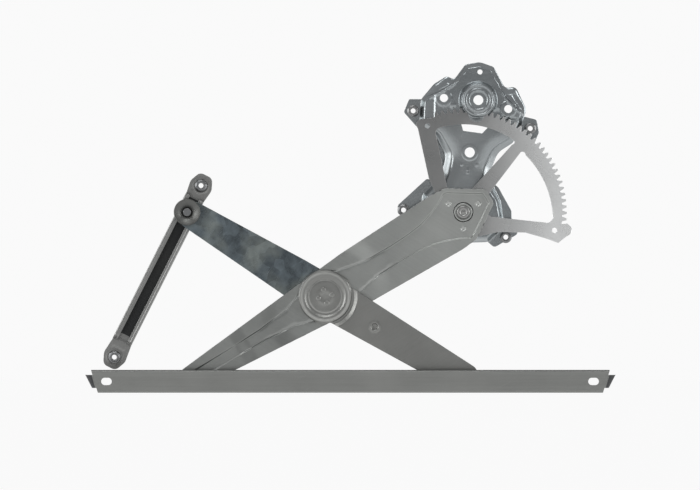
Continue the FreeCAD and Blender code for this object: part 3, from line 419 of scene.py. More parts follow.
@dataclass
class PressedSheet:
    """A sheet metal blank with a pressed form, from its outline and its front face's height."""

    name: str
    place: Place
    filled: list[Array]
    front: Callable[[Array], Array]
    gauge: float
    holes: list[Array] = field(default_factory=list)
    creases: list[Array] = field(default_factory=list)
    pitch: float = 2.2
    edge: float = 0.35

    def covered(self, points: Array) -> Array:
        """Whether points lie on the sheet.

        Args:
            points: Rows of two coordinates.

        Returns:
            True for each point in an outline and in no hole.
        """
        on = np.zeros(len(points), bool)
        for loop in self.filled:
            on |= inside(points, loop)
        for loop in self.holes:
            on &= ~inside(points, loop)
        return on

    def spread(self) -> tuple[Array, list[tuple[int, int]]]:
        """Points over the sheet, with the edges that its outlines hold.

        Returns:
            The points and the pairs of points that an edge joins.
        """
        loops = [refined(loop, self.pitch * 0.7) for loop in self.filled + self.holes]
        edges: list[tuple[int, int]] = []
        start = 0
        for loop in loops:
            edges += [(start + k, start + (k + 1) % len(loop)) for k in range(len(loop))]
            start += len(loop)
        fixed = np.concatenate(loops)
        crease = np.concatenate(self.creases or [np.zeros((0, 2))])
        if len(crease):
            away = np.min([distance(crease, loop) for loop in loops], axis=0)
            crease = crease[self.covered(crease) & (away > 0.3 * self.pitch)]
        low, high = fixed.min(axis=0), fixed.max(axis=0)
        xs = np.arange(low[0], high[0], self.pitch)
        ys = np.arange(low[1], high[1], self.pitch * 0.866)
        grid = np.array([(x + (0.5 * self.pitch if row % 2 else 0.0), y)
                         for row, y in enumerate(ys) for x in xs])
        grid = grid[self.covered(grid)]
        away = np.min([distance(grid, loop) for loop in loops], axis=0)
        grid = grid[away > 0.5 * self.pitch]
        if len(crease):
            cells = {tuple(c) for c in np.floor(crease / (0.6 * self.pitch)).astype(int)}
            near = np.array([tuple(c) in cells for c in np.floor(grid / (0.6 * self.pitch)).astype(int)])
            grid = grid[~near]
        return np.concatenate((fixed, crease, grid)), edges

    def blank(self) -> tuple[Array, Array]:
        """The flat sheet as triangles.

        Returns:
            The points, and the triangles, which all turn the same way.
        """
        points, edges = self.spread()
        made = delaunay_2d_cdt([Vector(p) for p in points.tolist()], edges, [], 0, 1e-5)
        plan = np.array([tuple(v) for v in made[0]])
        triangles = np.array([f for f in made[2] if len(f) == 3])
        triangles = triangles[self.covered(plan[triangles].mean(axis=1))]
        a, b, c = (plan[triangles[:, k]] for k in range(3))
        area = (b[:, 0] - a[:, 0]) * (c[:, 1] - a[:, 1]) - (b[:, 1] - a[:, 1]) * (c[:, 0] - a[:, 0])
        triangles[area < 0] = triangles[area < 0][:, ::-1]
        used = np.unique(triangles)
        renumber = np.full(len(plan), -1)
        renumber[used] = np.arange(len(used))
        return plan[used], renumber[triangles]

    def mesh(self) -> bpy.types.Mesh:
        """The sheet's mesh, with a front, a back and rounded edges.

        Returns:
            The mesh in the frame.
        """
        plan, triangles = self.blank()
        rim = open_edges(triangles)
        border = sorted({i for pair in rim for i in pair})
        at = np.array(border)
        inward = inward_ways(plan, rim) * self.edge
        shrunk = plan + inward
        forward = self.front(shrunk)
        turns = [math.radians(a) for a in (0.0, 30.0, 60.0, 90.0)]
        layers = [(1 - math.sin(t), self.edge * (1 - math.cos(t))) for t in turns]
        layers += [(share, self.gauge - drop) for share, drop in reversed(layers)]
        rows = [self.place.to_frame(shrunk, forward)]
        rows += [self.place.to_frame(plan[at] + inward[at] * share, forward[at] - drop)
                 for share, drop in layers[1:-1]]
        rows.append(self.place.to_frame(shrunk, forward - self.gauge))
        front_end = len(plan)
        back_start = front_end + (len(layers) - 2) * len(border)
        levels = [dict(zip(border, border))]
        levels += [{i: start + k for k, i in enumerate(border)}
                   for start in range(front_end, back_start, len(border))]
        levels.append({i: back_start + i for i in border})
        faces = triangles.tolist() + (triangles[:, ::-1] + back_start).tolist()
        faces += [[upper[j], upper[i], lower[i], lower[j]]
                  for i, j in rim for upper, lower in zip(levels, levels[1:])]
        mesh = bpy.data.meshes.new(self.name)
        mesh.from_pydata(np.concatenate(rows).tolist(), [], faces)
        smooth(mesh)
        mesh.validate()
        normals = np.array([tuple(v.vector) for v in mesh.vertex_normals])
        normals[:front_end] = self.normals(shrunk)
        normals[back_start:] = -normals[:front_end]
        mesh.normals_split_custom_set_from_vertices(normals.tolist())
        return mesh

    def normals(self, points: Array) -> Array:
        """The way that the face looks at points of it, from the slope of the pressed form.

        Args:
            points: Rows of two coordinates.

        Returns:
            Rows of three coordinates in the frame, each one long.
        """
        reach = 0.2
        slopes = [(self.front(points + move) - self.front(points - move)) / (2 * reach)
                  for move in (np.array((reach, 0.0)), np.array((0.0, reach)))]
        turn = math.radians(self.place.degrees)
        x = -slopes[0] * math.cos(turn) + slopes[1] * math.sin(turn)
        z = -slopes[0] * math.sin(turn) - slopes[1] * math.cos(turn)
        ways = np.column_stack((x, -np.ones(len(points)), z))
        return ways / np.linalg.norm(ways, axis=1)[:, None]

    def build(self) -> bpy.types.Object:
        """The sheet as an object."""
        return new_piece(self.name, self.mesh())


def softened(node: str, name: str, radius: float, angle: float = 32.0) -> bpy.types.Object:
    """A solid's mesh with its sharp edges rounded.

    Args:
        node: The solid that is dressed.
        name: The new piece's name.
        radius: How far each edge is rounded.
        angle: The least turn of an edge, in degrees, that is rounded.

    Returns:
        The new piece.
    """
    mesh = bpy.data.meshes.new(name)
    with opened(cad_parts[node].data, mesh) as work:
        bmesh.ops.remove_doubles(work, verts=work.verts, dist=2e-6)
        bmesh.ops.dissolve_limit(work, angle_limit=math.radians(0.6), verts=work.verts, edges=work.edges)
    piece = new_piece(name, mesh)
    bevel = piece.modifiers.new("edge", "BEVEL")
    bevel.width = radius * MM
    bevel.segments = 3
    bevel.limit_method = "ANGLE"
    bevel.angle_limit = math.radians(angle)
    bevel.use_clamp_overlap = True
    return evened(piece)


# Node trees and finishes

class Value:
    """A node's output socket, which takes plain arithmetic."""

    def __init__(self, tree: "Tree", socket: bpy.types.NodeSocket | None) -> None:
        """Wraps an output socket of a tree, or none where a node ends it."""
        self.tree = tree
        self.socket = socket

    def _math(self, operation: str, first: Any, second: Any = 0.0) -> "Value":
        """One Math node between two values."""
        return self.tree.node("ShaderNodeMath", {"operation": operation}, {0: first, 1: second})

    def __add__(self, other: Any) -> "Value":
        """Sum."""
        return self._math("ADD", self, other)

    __radd__ = __add__

    def __sub__(self, other: Any) -> "Value":
        """Difference."""
        return self._math("SUBTRACT", self, other)

    def __rsub__(self, other: Any) -> "Value":
        """Difference, the other way round."""
        return self._math("SUBTRACT", other, self)

    def __mul__(self, other: Any) -> "Value":
        """Product."""
        return self._math("MULTIPLY", self, other)

    __rmul__ = __mul__

    def __abs__(self) -> "Value":
        """The value without its sign."""
        return self._math("ABSOLUTE", self)

    def clipped(self) -> "Value":
        """The value held between 0 and 1."""
        return self.tree.node("ShaderNodeClamp", {}, {"Value": self})

    def beside(self, name: str) -> "Value":
        """Another output of the same node."""
        return Value(self.tree, self.socket.node.outputs[name])


class Tree:
    """A node tree that is built call by call."""

    def __init__(self, tree: bpy.types.NodeTree) -> None:
        """Starts on a tree, and empties it."""
        self.tree = tree
        tree.nodes.clear()

    def node(self, kind: str, settings: dict[str, Any], inputs: dict[Any, Any], output: Any = 0) -> Value:
        """Adds a node.

        Args:
            kind: The node's type.
            settings: Its own properties, set first. "stops" holds a ramp's places and colours, in order.
            inputs: Values or links, by socket name or number.
            output: The socket that is wanted.

        Returns:
            The output socket, wrapped.
        """
        made = self.tree.nodes.new(kind)
        for key, setting in settings.items():
            if key != "stops":
                setattr(made, key, setting)
                continue
            stops = made.color_ramp.elements
            for place, colour in setting:
                stop = stops.new(place) if 0.0 < place < 1.0 else stops[0 if place == 0.0 else -1]
                stop.color = colour
        for key, given in inputs.items():
            if isinstance(given, Value):
                self.tree.links.new(given.socket, made.inputs[key])
            else:
                made.inputs[key].default_value = given
        return Value(self, made.outputs[output] if len(made.outputs) else None)


class Paint(Tree):
    """A node material that is built call by call."""

    def __init__(self, name: str) -> None:
        """Starts an empty material of a name."""
        self.material = bpy.data.materials.new(name)
        self.material.use_nodes = True
        super().__init__(self.material.node_tree)

    def coordinates(self, stretch: Sequence[float] = (1.0, 1.0, 1.0), degrees: float = 0.0) -> Value:
        """Object coordinates, turned about the forward axis and stretched."""
        where = self.node("ShaderNodeTexCoord", {}, {}, "Object")
        turn = (0.0, math.radians(degrees), 0.0)
        turned = self.node("ShaderNodeMapping", {}, {"Vector": where, "Rotation": turn})
        return self.node("ShaderNodeMapping", {}, {"Vector": turned, "Scale": tuple(stretch)})

    def noise(self, scale: float, detail: float, where: Value) -> Value:
        """Soft noise of a scale, in features to the metre."""
        return self.node("ShaderNodeTexNoise", {}, {"Vector": where, "Scale": scale, "Detail": detail}, "Fac")

    def blend(self, share: Any, first: Any, second: Any) -> Value:
        """A mix of two colours."""
        return self.node("ShaderNodeMix", {"data_type": "RGBA"}, {0: share, 6: first, 7: second}, 2)

    def split(self, where: Value, axis: str) -> Value:
        """One coordinate of a place."""
        return self.node("ShaderNodeSeparateXYZ", {}, {"Vector": where}, axis)

    def bumpy(self, base: Value, rough: Value, metallic: float, relief: float, height: Value,
              deep: float) -> bpy.types.Material:
        """Ends the material with a shader that has a bumpy surface.

        Args:
            base: The colour.
            rough: The roughness.
            metallic: How far the surface is bare metal.
            relief: The strength of the bumps.
            height: Where the bumps are high.
            deep: How deep they are, in millimetres.

        Returns:
            The material.
        """
        bump = self.node("ShaderNodeBump", {}, {"Strength": relief, "Distance": deep * MM, "Height": height})
        return self.finish(self.node("ShaderNodeBsdfPrincipled", {}, {
            "Base Color": base, "Roughness": rough, "Metallic": metallic, "Normal": bump}))

    def finish(self, shader: Value) -> bpy.types.Material:
        """Joins a shader to the material's output."""
        self.node("ShaderNodeOutputMaterial", {}, {"Surface": shader})
        return self.material


def shade(colour: Sequence[float], factor: float = 1.0) -> tuple[float, float, float, float]:
    """A colour made lighter or darker, with full cover."""
    return (*(min(1.0, c * factor) for c in colour[:3]), 1.0)


@dataclass(frozen=True)
class SheetFinish:
    """A zinc coated sheet metal finish.

    The colour and the tint lie side by side in patches. Cloud, streak, spangle and scratch say how strongly
    each of them varies the tone, and contrast how far the tone moves the colour. Along the rail, between a
    start and an end in metres, a painted shade fades from its darkest share to the full colour. Each ring is
    a painted highlight with a radius, half a width and a share. The edges of painted shade are a height and
    half a width in metres.
    """

    name: str
    colour: Triple
    tint: Triple
    roughness: float = 0.34
    metallic: float = 0.9
    cloud: float = 0.16
    cloud_scale: float = 42.0
    streak: float = 0.10
    streak_angle: float = 0.0
    spangle: float = 0.0
    scratch: float = 0.25
    relief: float = 0.12
    patches: float = 0.55
    contrast: float = 0.28
    painted_shade_start: float = 0.0
    painted_shade_end: float = 0.0
    painted_shade_dark: float = 1.0
    rings: tuple[Triple, ...] = ()
    highlight_brightness: float = 2.3
    painted_shade_edges: Point = (0.0, 0.0)
    shade_band: float = 0.0012
    shade_darkness: float = 0.3
    grain: Triple = (14.0, 14.0, 620.0)
    dust_scale: float = 1400.0
    scuff_grain: Triple = (60.0, 60.0, 2400.0)
    scuff_turn: float = 24.0
    scuff_from: float = 0.66
    scuff_bright: float = 1.75
    spangle_scale: float = 95.0
    patch_scale: float = 0.35
    patch_from: float = 0.45
    tint_steady: float = 0.4

    def painted_edge_shade(self, paint: Paint, where: Value, base: Value) -> Value:
        """Paints shade along a level strip's upper and lower edge.

        Args:
            paint: The material that is being built.
            where: Object coordinates.
            base: The colour so far.

        Returns:
            The new colour.
        """
        middle, half = self.painted_shade_edges
        away = abs(paint.split(where, "Z") - middle)
        mask = ((away - (half - self.shade_band)) * 1100.0).clipped() * 0.75
        # Painted shade: the colour darkens in a band along both edges.
        return paint.blend(mask, base, shade(self.colour, self.shade_darkness))

    def painted_highlights(self, paint: Paint, where: Value, base: Value) -> Value:
        """Paints highlights: bright rings about the middle of the X.

        Args:
            paint: The material that is being built.
            where: Object coordinates.
            base: The colour so far.

        Returns:
            The new colour.
        """
        middle = FRONT_HALF_PLACE.spots([(0.0, 0.0)])[0]
        flat = paint.node("ShaderNodeVectorMath", {"operation": "MULTIPLY"}, {0: where, 1: (1.0, 0.0, 1.0)})
        radius = paint.node("ShaderNodeVectorMath", {"operation": "DISTANCE"},
                            {0: flat, 1: (middle[0], 0.0, middle[2])}, "Value")
        for ring, half_width, share in self.rings:
            away = abs(radius - ring * MM)
            mask = (1.0 - away * (1.0 / (half_width * MM))).clipped() * share
            # Painted highlight: each ring brightens the colour.
            base = paint.blend(mask, base, shade(self.colour, self.highlight_brightness))
        return base

    def painted_left_shade(self, paint: Paint, where: Value, patch: Value, base: Value) -> Value:
        """Paints shade that darkens the sheet towards its left end, with an uneven border.

        Args:
            paint: The material that is being built.
            where: Object coordinates.
            patch: A coarse noise that moves the border.
            base: The colour so far.

        Returns:
            The new colour.
        """
        across = (paint.split(where, "X") - self.painted_shade_start) * (1.0 / (self.painted_shade_end - self.painted_shade_start))
        share = (across + (patch - 0.5) * 0.3).clipped()
        # Painted shade: the colour is multiplied darker towards the left end.
        shaded = paint.node("ShaderNodeMix", {"data_type": "RGBA", "blend_type": "MULTIPLY"},
                          {0: 1.0, 6: base, 7: shade((self.painted_shade_dark,) * 3)}, 2)
        return paint.blend(share, shaded, base)

    def build(self) -> bpy.types.Material:
        """The finish as a node material.

        Returns:
            The material.
        """
        paint = Paint(self.name)
        plain = paint.coordinates()
        along = paint.coordinates(self.grain, self.streak_angle)
        cloud = paint.noise(self.cloud_scale, 4.0, plain)
        patch = paint.noise(self.cloud_scale * self.patch_scale, 2.0, plain)
        streak = paint.noise(1.0, 3.0, along)
        dust = paint.noise(self.dust_scale, 2.0, plain)
        scuff_where = paint.coordinates(self.scuff_grain, self.streak_angle + self.scuff_turn)
        scuff = paint.noise(1.0, 1.0, scuff_where)
        scratch = ((scuff - self.scuff_from) * 9.0).clipped() * self.scratch
        tone = (cloud - 0.5) * (2.2 * self.cloud) + (streak - 0.5) * (2.0 * self.streak) + 0.5
        if self.spangle > 0.0:
            cells = paint.node("ShaderNodeTexVoronoi", {"feature": "F1"},
                               {"Vector": plain, "Scale": self.spangle_scale, "Randomness": 1.0}, "Color")
            grey = paint.node("ShaderNodeRGBToBW", {}, {"Color": cells})
            tone = tone + (grey - 0.5) * self.spangle
        levels = (1.0 - self.contrast, 1.0 + self.contrast)
        tone = tone.clipped()
        base = paint.blend(tone, *(shade(self.colour, level) for level in levels))
        tint_levels = [self.tint_steady + (1.0 - self.tint_steady) * level for level in levels]
        patch_base = paint.blend(tone, *(shade(self.tint, level) for level in tint_levels))
        share = ((patch - self.patch_from) * 4.5).clipped() * self.patches
        base = paint.blend(share, base, patch_base)
        base = paint.blend(scratch, base, shade(self.colour, self.scuff_bright))
        # Painted shade, darker towards the left end.
        if self.painted_shade_end > self.painted_shade_start:
            base = self.painted_left_shade(paint, plain, patch, base)
        # Painted highlights: bright rings about the middle of the X.
        if self.rings:
            base = self.painted_highlights(paint, plain, base)
        # Painted shade along the upper and lower edge.
        if self.painted_shade_edges[1] > 0.0:
            base = self.painted_edge_shade(paint, plain, base)
        rough = (self.roughness + (cloud - 0.5) * 0.16 + (dust - 0.5) * 0.10 - scratch * 0.15).clipped()
        height = dust * 0.35 + streak * 0.65 + cloud * 0.9
        return paint.bumpy(base, rough, self.metallic, self.relief, height, 0.4)


@dataclass(frozen=True)
class PlasticFinish:
    """A moulded nylon finish."""

    name: str
    colour: Triple
    roughness: float = 0.45

    def build(self) -> bpy.types.Material:
        """The finish as a node material.

        Returns:
            The material.
        """
        paint = Paint(self.name)
        where = paint.coordinates()
        cloud = paint.noise(160.0, 3.0, where)
        grain = paint.noise(2600.0, 2.0, where)
        base = paint.blend(cloud, shade(self.colour, 0.82), shade(self.colour, 1.12))
        rough = self.roughness + (cloud - 0.5) * 0.2
        return paint.bumpy(base, rough, 0.0, 0.15, grain, 0.2)


class Metal(Enum):
    """The finishes of the regulator's pieces."""

    BASE = SheetFinish("zinc_pan", (0.31, 0.335, 0.345), (0.38, 0.40, 0.405), roughness=0.22, cloud=0.22,
                       streak_angle=8.0, relief=0.10)
    # Painted shade: the sector's colour is darkened towards its left end.
    SECTOR = SheetFinish("zinc_sector", (0.93, 0.962, 0.955), (0.96, 0.98, 0.97), roughness=0.30,
                         cloud=0.06, streak=0.05, streak_angle=-40.0, painted_shade_start=-0.012, painted_shade_end=0.075,
                         painted_shade_dark=0.33)
    # Painted shade: the lift arm's colour is darkened towards its left end.
    LIFT = SheetFinish("galvanised_lift_arm", (0.385, 0.398, 0.386), (0.418, 0.43, 0.415), roughness=0.36,
                       streak=0.16, streak_angle=-31.0, painted_shade_start=-0.20, painted_shade_end=-0.02, painted_shade_dark=0.70)
    # Painted highlights: bright rings on the bead and by the groove, and a brighter middle inside them.
    FRONT_HALF = SheetFinish("galvanised_front_half", (0.24, 0.243, 0.234), (0.27, 0.272, 0.262),
                             roughness=0.38, streak=0.12, streak_angle=31.0,
                             rings=((23.6, 2.2, 0.8), (0.0, 17.0, 0.22), (16.2, 0.7, 0.4)))
    REAR_HALF = SheetFinish("spangled_rear_half", (0.125, 0.150, 0.165), (0.225, 0.25, 0.24), roughness=0.30,
                            cloud=0.50, cloud_scale=110.0, spangle=0.55, streak_angle=31.0, scratch=0.6,
                            patches=0.85, contrast=0.62)
    # Painted shade: dark bands along the rail's upper and lower edge.
    RAIL = SheetFinish("satin_rail", (0.270, 0.275, 0.265), (0.30, 0.304, 0.293), roughness=0.42, cloud=0.09,
                       streak=0.16, streak_angle=0.0, painted_shade_edges=(-0.28082, 0.01125))
    GUIDE = SheetFinish("satin_guide", (0.27, 0.272, 0.266), (0.33, 0.332, 0.325), roughness=0.36, cloud=0.16,
                        streak=0.05, streak_angle=-63.0, relief=0.03)
    PLATED = SheetFinish("plated_fastener", (0.46, 0.47, 0.46), (0.52, 0.52, 0.50), roughness=0.28, cloud=0.2,
                         streak=0.0)
    NUT = SheetFinish("phosphated_nut", (0.22, 0.225, 0.23), (0.28, 0.28, 0.27), roughness=0.32, cloud=0.3,
                      streak=0.0)
    DARK = SheetFinish("dark_fastener", (0.10, 0.102, 0.105), (0.13, 0.13, 0.13), roughness=0.36, cloud=0.2,
                       streak=0.0)
    # Painted shade: a near-black finish for the channel floor between the guide's sides.
    SLOT_SHADE = SheetFinish("shaded_channel_floor", (0.035, 0.037, 0.038), (0.055, 0.055, 0.05), roughness=0.5,
                          metallic=0.4, cloud=0.3, streak_angle=-63.0)
    NYLON = PlasticFinish("natural_nylon", (0.62, 0.60, 0.53))

    def material(self) -> bpy.types.Material:
        """This finish's material, made once."""
        found = bpy.data.materials.get(self.value.name)
        return found or self.value.build()


# Sub-assemblies

def patched(piece: bpy.types.Object, metal: Metal, covers: Callable[[Vector, Vector], bool]) -> None:
    """Gives another finish to the faces that a test picks by their middle and normal, in metres.

    Args:
        piece: A piece that has its own finish.
        metal: The other finish.
        covers: The test, given a face's middle and its normal.
    """
    piece.data.materials.append(metal.material())
    last = len(piece.data.materials) - 1
    for face in piece.data.polygons:
        if covers(face.center, face.normal):
            face.material_index = last


def dressed(piece: bpy.types.Object, body: str, metal: Metal, nodes: Sequence[str] = ()) -> None:
    """Gives a piece its finish, its body and the solids that it stands for.

    Args:
        piece: The piece.
        body: The body that it rides on.
        metal: Its finish.
        nodes: The solids that it replaces.
    """
    piece.data.materials.clear()
    piece.data.materials.append(metal.material())
    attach(piece, body)
    if nodes:
        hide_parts(*nodes)
    LOG.info("%s rides on %s, %d faces", piece.name, body, len(piece.data.polygons))


@dataclass
class LiftArm:
    """The pressed lift arm, from the pivot past the middle of the X to the roller's tip."""

    floor: float = 1.2
    rim_rise: float = 2.0
    tip_front: float = 6.0
    tip_floor: float = 5.2
    joggle: Point = (250.0, 266.0)
    channel: tuple[Point, ...] = ((-40.0, 28.0), (-10.0, 28.0), (6.0, 27.0), (17.0, 20.5), (29.0, 15.6),
                                  (43.0, 11.4), (60.0, 9.6), (80.0, 9.0), (104.0, 9.4), (122.0, 12.8),
                                  (138.0, 16.4), (150.0, 22.0), (162.0, 25.0), (174.0, 21.0), (185.0, 15.2),
                                  (203.0, 9.2), (213.0, 8.2), (235.0, 5.8), (262.0, 5.2), (312.0, 5.0),
                                  (316.0, 0.0), (340.0, 0.0))
    clear_of_pin: Point = (48.5, 68.5)
    border: float = 4.6
    border_end: float = 40.0
    bend: float = 1.6
    line_depth: float = 0.45
    line_width: float = 0.8
    line_end: Point = (62.0, 80.0)
    fold_pitch: float = 1.1
    fold_span: Point = (-30.0, 320.0)
    fold_shifts: tuple[float, ...] = (-1.3, -0.8, -0.4, 0.0, 0.4, 0.8, 1.3)
    border_shifts: tuple[float, ...] = (-1.2, -0.8, -0.4, 0.0, 0.4, 0.8, 1.3)
    panel_end: float = 12.0
    middle_hole: float = 14.1
    gauge: float = 2.0

    def outline(self) -> Array:
        """The arm's outline, with the arm along the first axis."""
        tip = 2 * HALF_ARM
        return rounded(mirrored([(-31.0, 8.0, 6.0), (3.0, 30.0, 8.0), (20.0, 31.5, 10.0),
                                 (HALF_ARM - 36.0, 28.5, 30.0), (HALF_ARM + 12.0, 24.7, 40.0),
                                 (tip - 1.0, 12.0, 12.0), (tip + 8.5, 6.6, 7.0)]))

    def half_channel(self, reach: Array) -> Array:
        """Half the width of the sunk middle at a distance along the arm."""
        places, widths = zip(*self.channel)
        return np.interp(reach, places, widths)

    def front(self, points: Array) -> Array:
        """The forward height of the arm's face.

        Args:
            points: Rows of two coordinates.

        Returns:
            One height for each point.
        """
        reach, side = points[:, 0], np.abs(points[:, 1])
        over = ramp(reach, *self.joggle)
        floor = self.floor + (self.tip_floor - self.floor) * over
        top = self.floor + self.rim_rise + (self.tip_front - self.floor - self.rim_rise) * over
        past = side - self.half_channel(reach)
        edge = self.border - depth(points, self.outline())
        past = np.where(reach < self.border_end, np.maximum(past, edge), past)
        from_pin = apart(points, (HALF_ARM, 0.0))
        raised = step(past, self.bend) * ramp(from_pin, *self.clear_of_pin)
        line = ridge(past + self.line_width / 2, self.line_width) * (1 - ramp(from_pin, *self.line_end))
        return floor + (top - floor) * raised - self.line_depth * line

    def build(self) -> None:
        """Makes the arm with its fold lines."""
        folds: list[Array] = []
        reach = np.arange(*self.fold_span, self.fold_pitch)
        for shift in self.fold_shifts:
            side = self.half_channel(reach) + shift
            folds += [np.column_stack((reach, side)), np.column_stack((reach, -side))]
        for shift in self.border_shifts:
            ring = inset(self.outline(), self.border + shift, self.fold_pitch)
            folds.append(ring[ring[:, 0] < self.panel_end])
        holes = [circle((0.0, 0.0), BUSH_HOLE), circle((HALF_ARM, 0.0), self.middle_hole),
                 circle((2 * HALF_ARM, 0.0), PIN_HOLE, 24)] + clinch_holes(LIFT_PLACE.degrees)
        arm = PressedSheet("lift_arm_sheet", LIFT_PLACE, [self.outline()], self.front, self.gauge,
                           holes=holes, creases=folds).build()
        dressed(arm, "lift_arm_body", Metal.LIFT, ["lift_arm"])


def half_arm_holes() -> list[Array]:
    """The holes of a half arm: its roller's stud and the four rivets at the middle of the X."""
    return [circle((HALF_ARM, 0.0), PIN_HOLE, 24)] + [circle(r, RIVET_HOLE, 16) for r in MIDDLE_RIVETS]


@dataclass
class FrontHalf:
    """The front half of the balance arm, with the round cup at the middle of the X.

    The bead has four radii. The groove, the hub, the collar and the pit have a radius, a width and a height.
    """

    floor: float = 3.5
    tip_front: float = 6.0
    disc: float = 26.7
    neck: float = 20.5
    joggle: Point = (28.0, 33.5)
    bead: tuple[float, ...] = (17.9, 21.6, 25.2, 27.0)
    bead_rise: float = 2.2
    dish_rise: float = 0.7
    groove: Triple = (17.1, 0.5, 0.35)
    hub: Triple = (6.5, 2.2, 0.4)
    hub_reach: float = 14.0
    dimple: Point = (58.0, 0.0)
    collar: Triple = (4.4, 0.8, 0.45)
    pit: Triple = (3.0, 1.0, 1.3)
    folds: tuple[float, ...] = (4.5, 6.5, 8.5, 16.4, 16.8, 17.1, 17.4, 17.9, 18.7, 19.6, 20.6, 21.6,
                                25.2, 25.8, 26.4, 27.0, 28.2, 29.4, 30.7, 32.0, 33.4)
    dimple_folds: tuple[float, ...] = (2.4, 2.9, 3.4, 4.0, 4.6, 5.3)
    gauge: float = 2.0

    def outline(self) -> Array:
        """The half arm's outline, with the arm along the first axis."""
        disc, neck = self.disc, self.neck
        corner = disc * math.tan(math.radians(180.0 / 8))
        head = mirrored([(corner, disc, disc), (-corner, disc, disc), (-disc, corner, disc)])
        low = [(disc + corner - neck + 1.0, 1.0 - neck, 4.0), (HALF_ARM - 2.0, -12.8, 20.0),
               (HALF_ARM + 10.5, -7.0, 7.0)]
        high = [(HALF_ARM + 13.5, 9.0, 8.0), (HALF_ARM + 4.0, 17.8, 9.0),
                (disc + corner - neck, neck + 1.0, 4.0)]
        return rounded(head + low + high, 12)

    def front(self, points: Array) -> Array:
        """The forward height of the half arm's face.

        Args:
            points: Rows of two coordinates.

        Returns:
            One height for each point.
        """
        radius = apart(points, (0.0, 0.0))
        away = np.where(points[:, 0] > 0.0, radius, 0.0)
        height = self.floor + (self.tip_front - self.floor) * ramp(away, *self.joggle)
        inner, crest, fall, outer = self.bead
        bead = ramp(radius, inner, crest) * (1 - ramp(radius, fall, outer))
        dish = (1 - ramp(radius, inner, crest)) * self.dish_rise
        from_dimple = apart(points, self.dimple)
        groove, hub, collar = (rise * ridge(away - middle, width) for away, (middle, width, rise) in (
            (radius, self.groove), (radius, self.hub), (from_dimple, self.collar)))
        pit = self.pit[2] * (1 - step(from_dimple - self.pit[0], self.pit[1]))
        return height + bead * self.bead_rise + dish - groove + hub * (radius < self.hub_reach) + collar - pit

    def build(self) -> None:
        """Makes the half arm."""
        folds = rings((0.0, 0.0), self.folds) + [circle(self.dimple, r, 26) for r in self.dimple_folds]
        arm = PressedSheet("front_half_sheet", FRONT_HALF_PLACE, [self.outline()], self.front, self.gauge,
                           holes=half_arm_holes(), creases=folds).build()
        dressed(arm, "balance_arm_body", Metal.FRONT_HALF, ["equalizer_front_arm"])


@dataclass
class RearHalf:
    """The flat rear half of the balance arm."""

    face: float = -1.16
    gauge: float = 2.4
    wave_height: float = 0.05
    pitch: float = 3.0

    def outline(self) -> Array:
        """The half arm's outline, with the arm along the first axis."""
        return rounded(mirrored([(-20.0, 12.0, 12.0), (-6.0, 21.5, 16.0), (36.0, 20.5, 24.0),
                                 (HALF_ARM - 4.0, 14.0, 12.0), (HALF_ARM + 12.0, 8.68, 9.0)]))

    def front(self, points: Array) -> Array:
        """The face's forward height, a little wavy as flat sheet is."""
        wave = np.sin(points[:, 0] / 17.0) * np.cos(points[:, 1] / 11.0 + points[:, 0] / 40.0)
        return self.face + self.wave_height * wave

    def build(self) -> None:
        """Makes the half arm."""
        arm = PressedSheet("rear_half_sheet", REAR_HALF_PLACE, [self.outline()], self.front, self.gauge,
                           holes=half_arm_holes(), pitch=self.pitch).build()
        dressed(arm, "balance_arm_body", Metal.REAR_HALF, ["equalizer_rear_arm"])


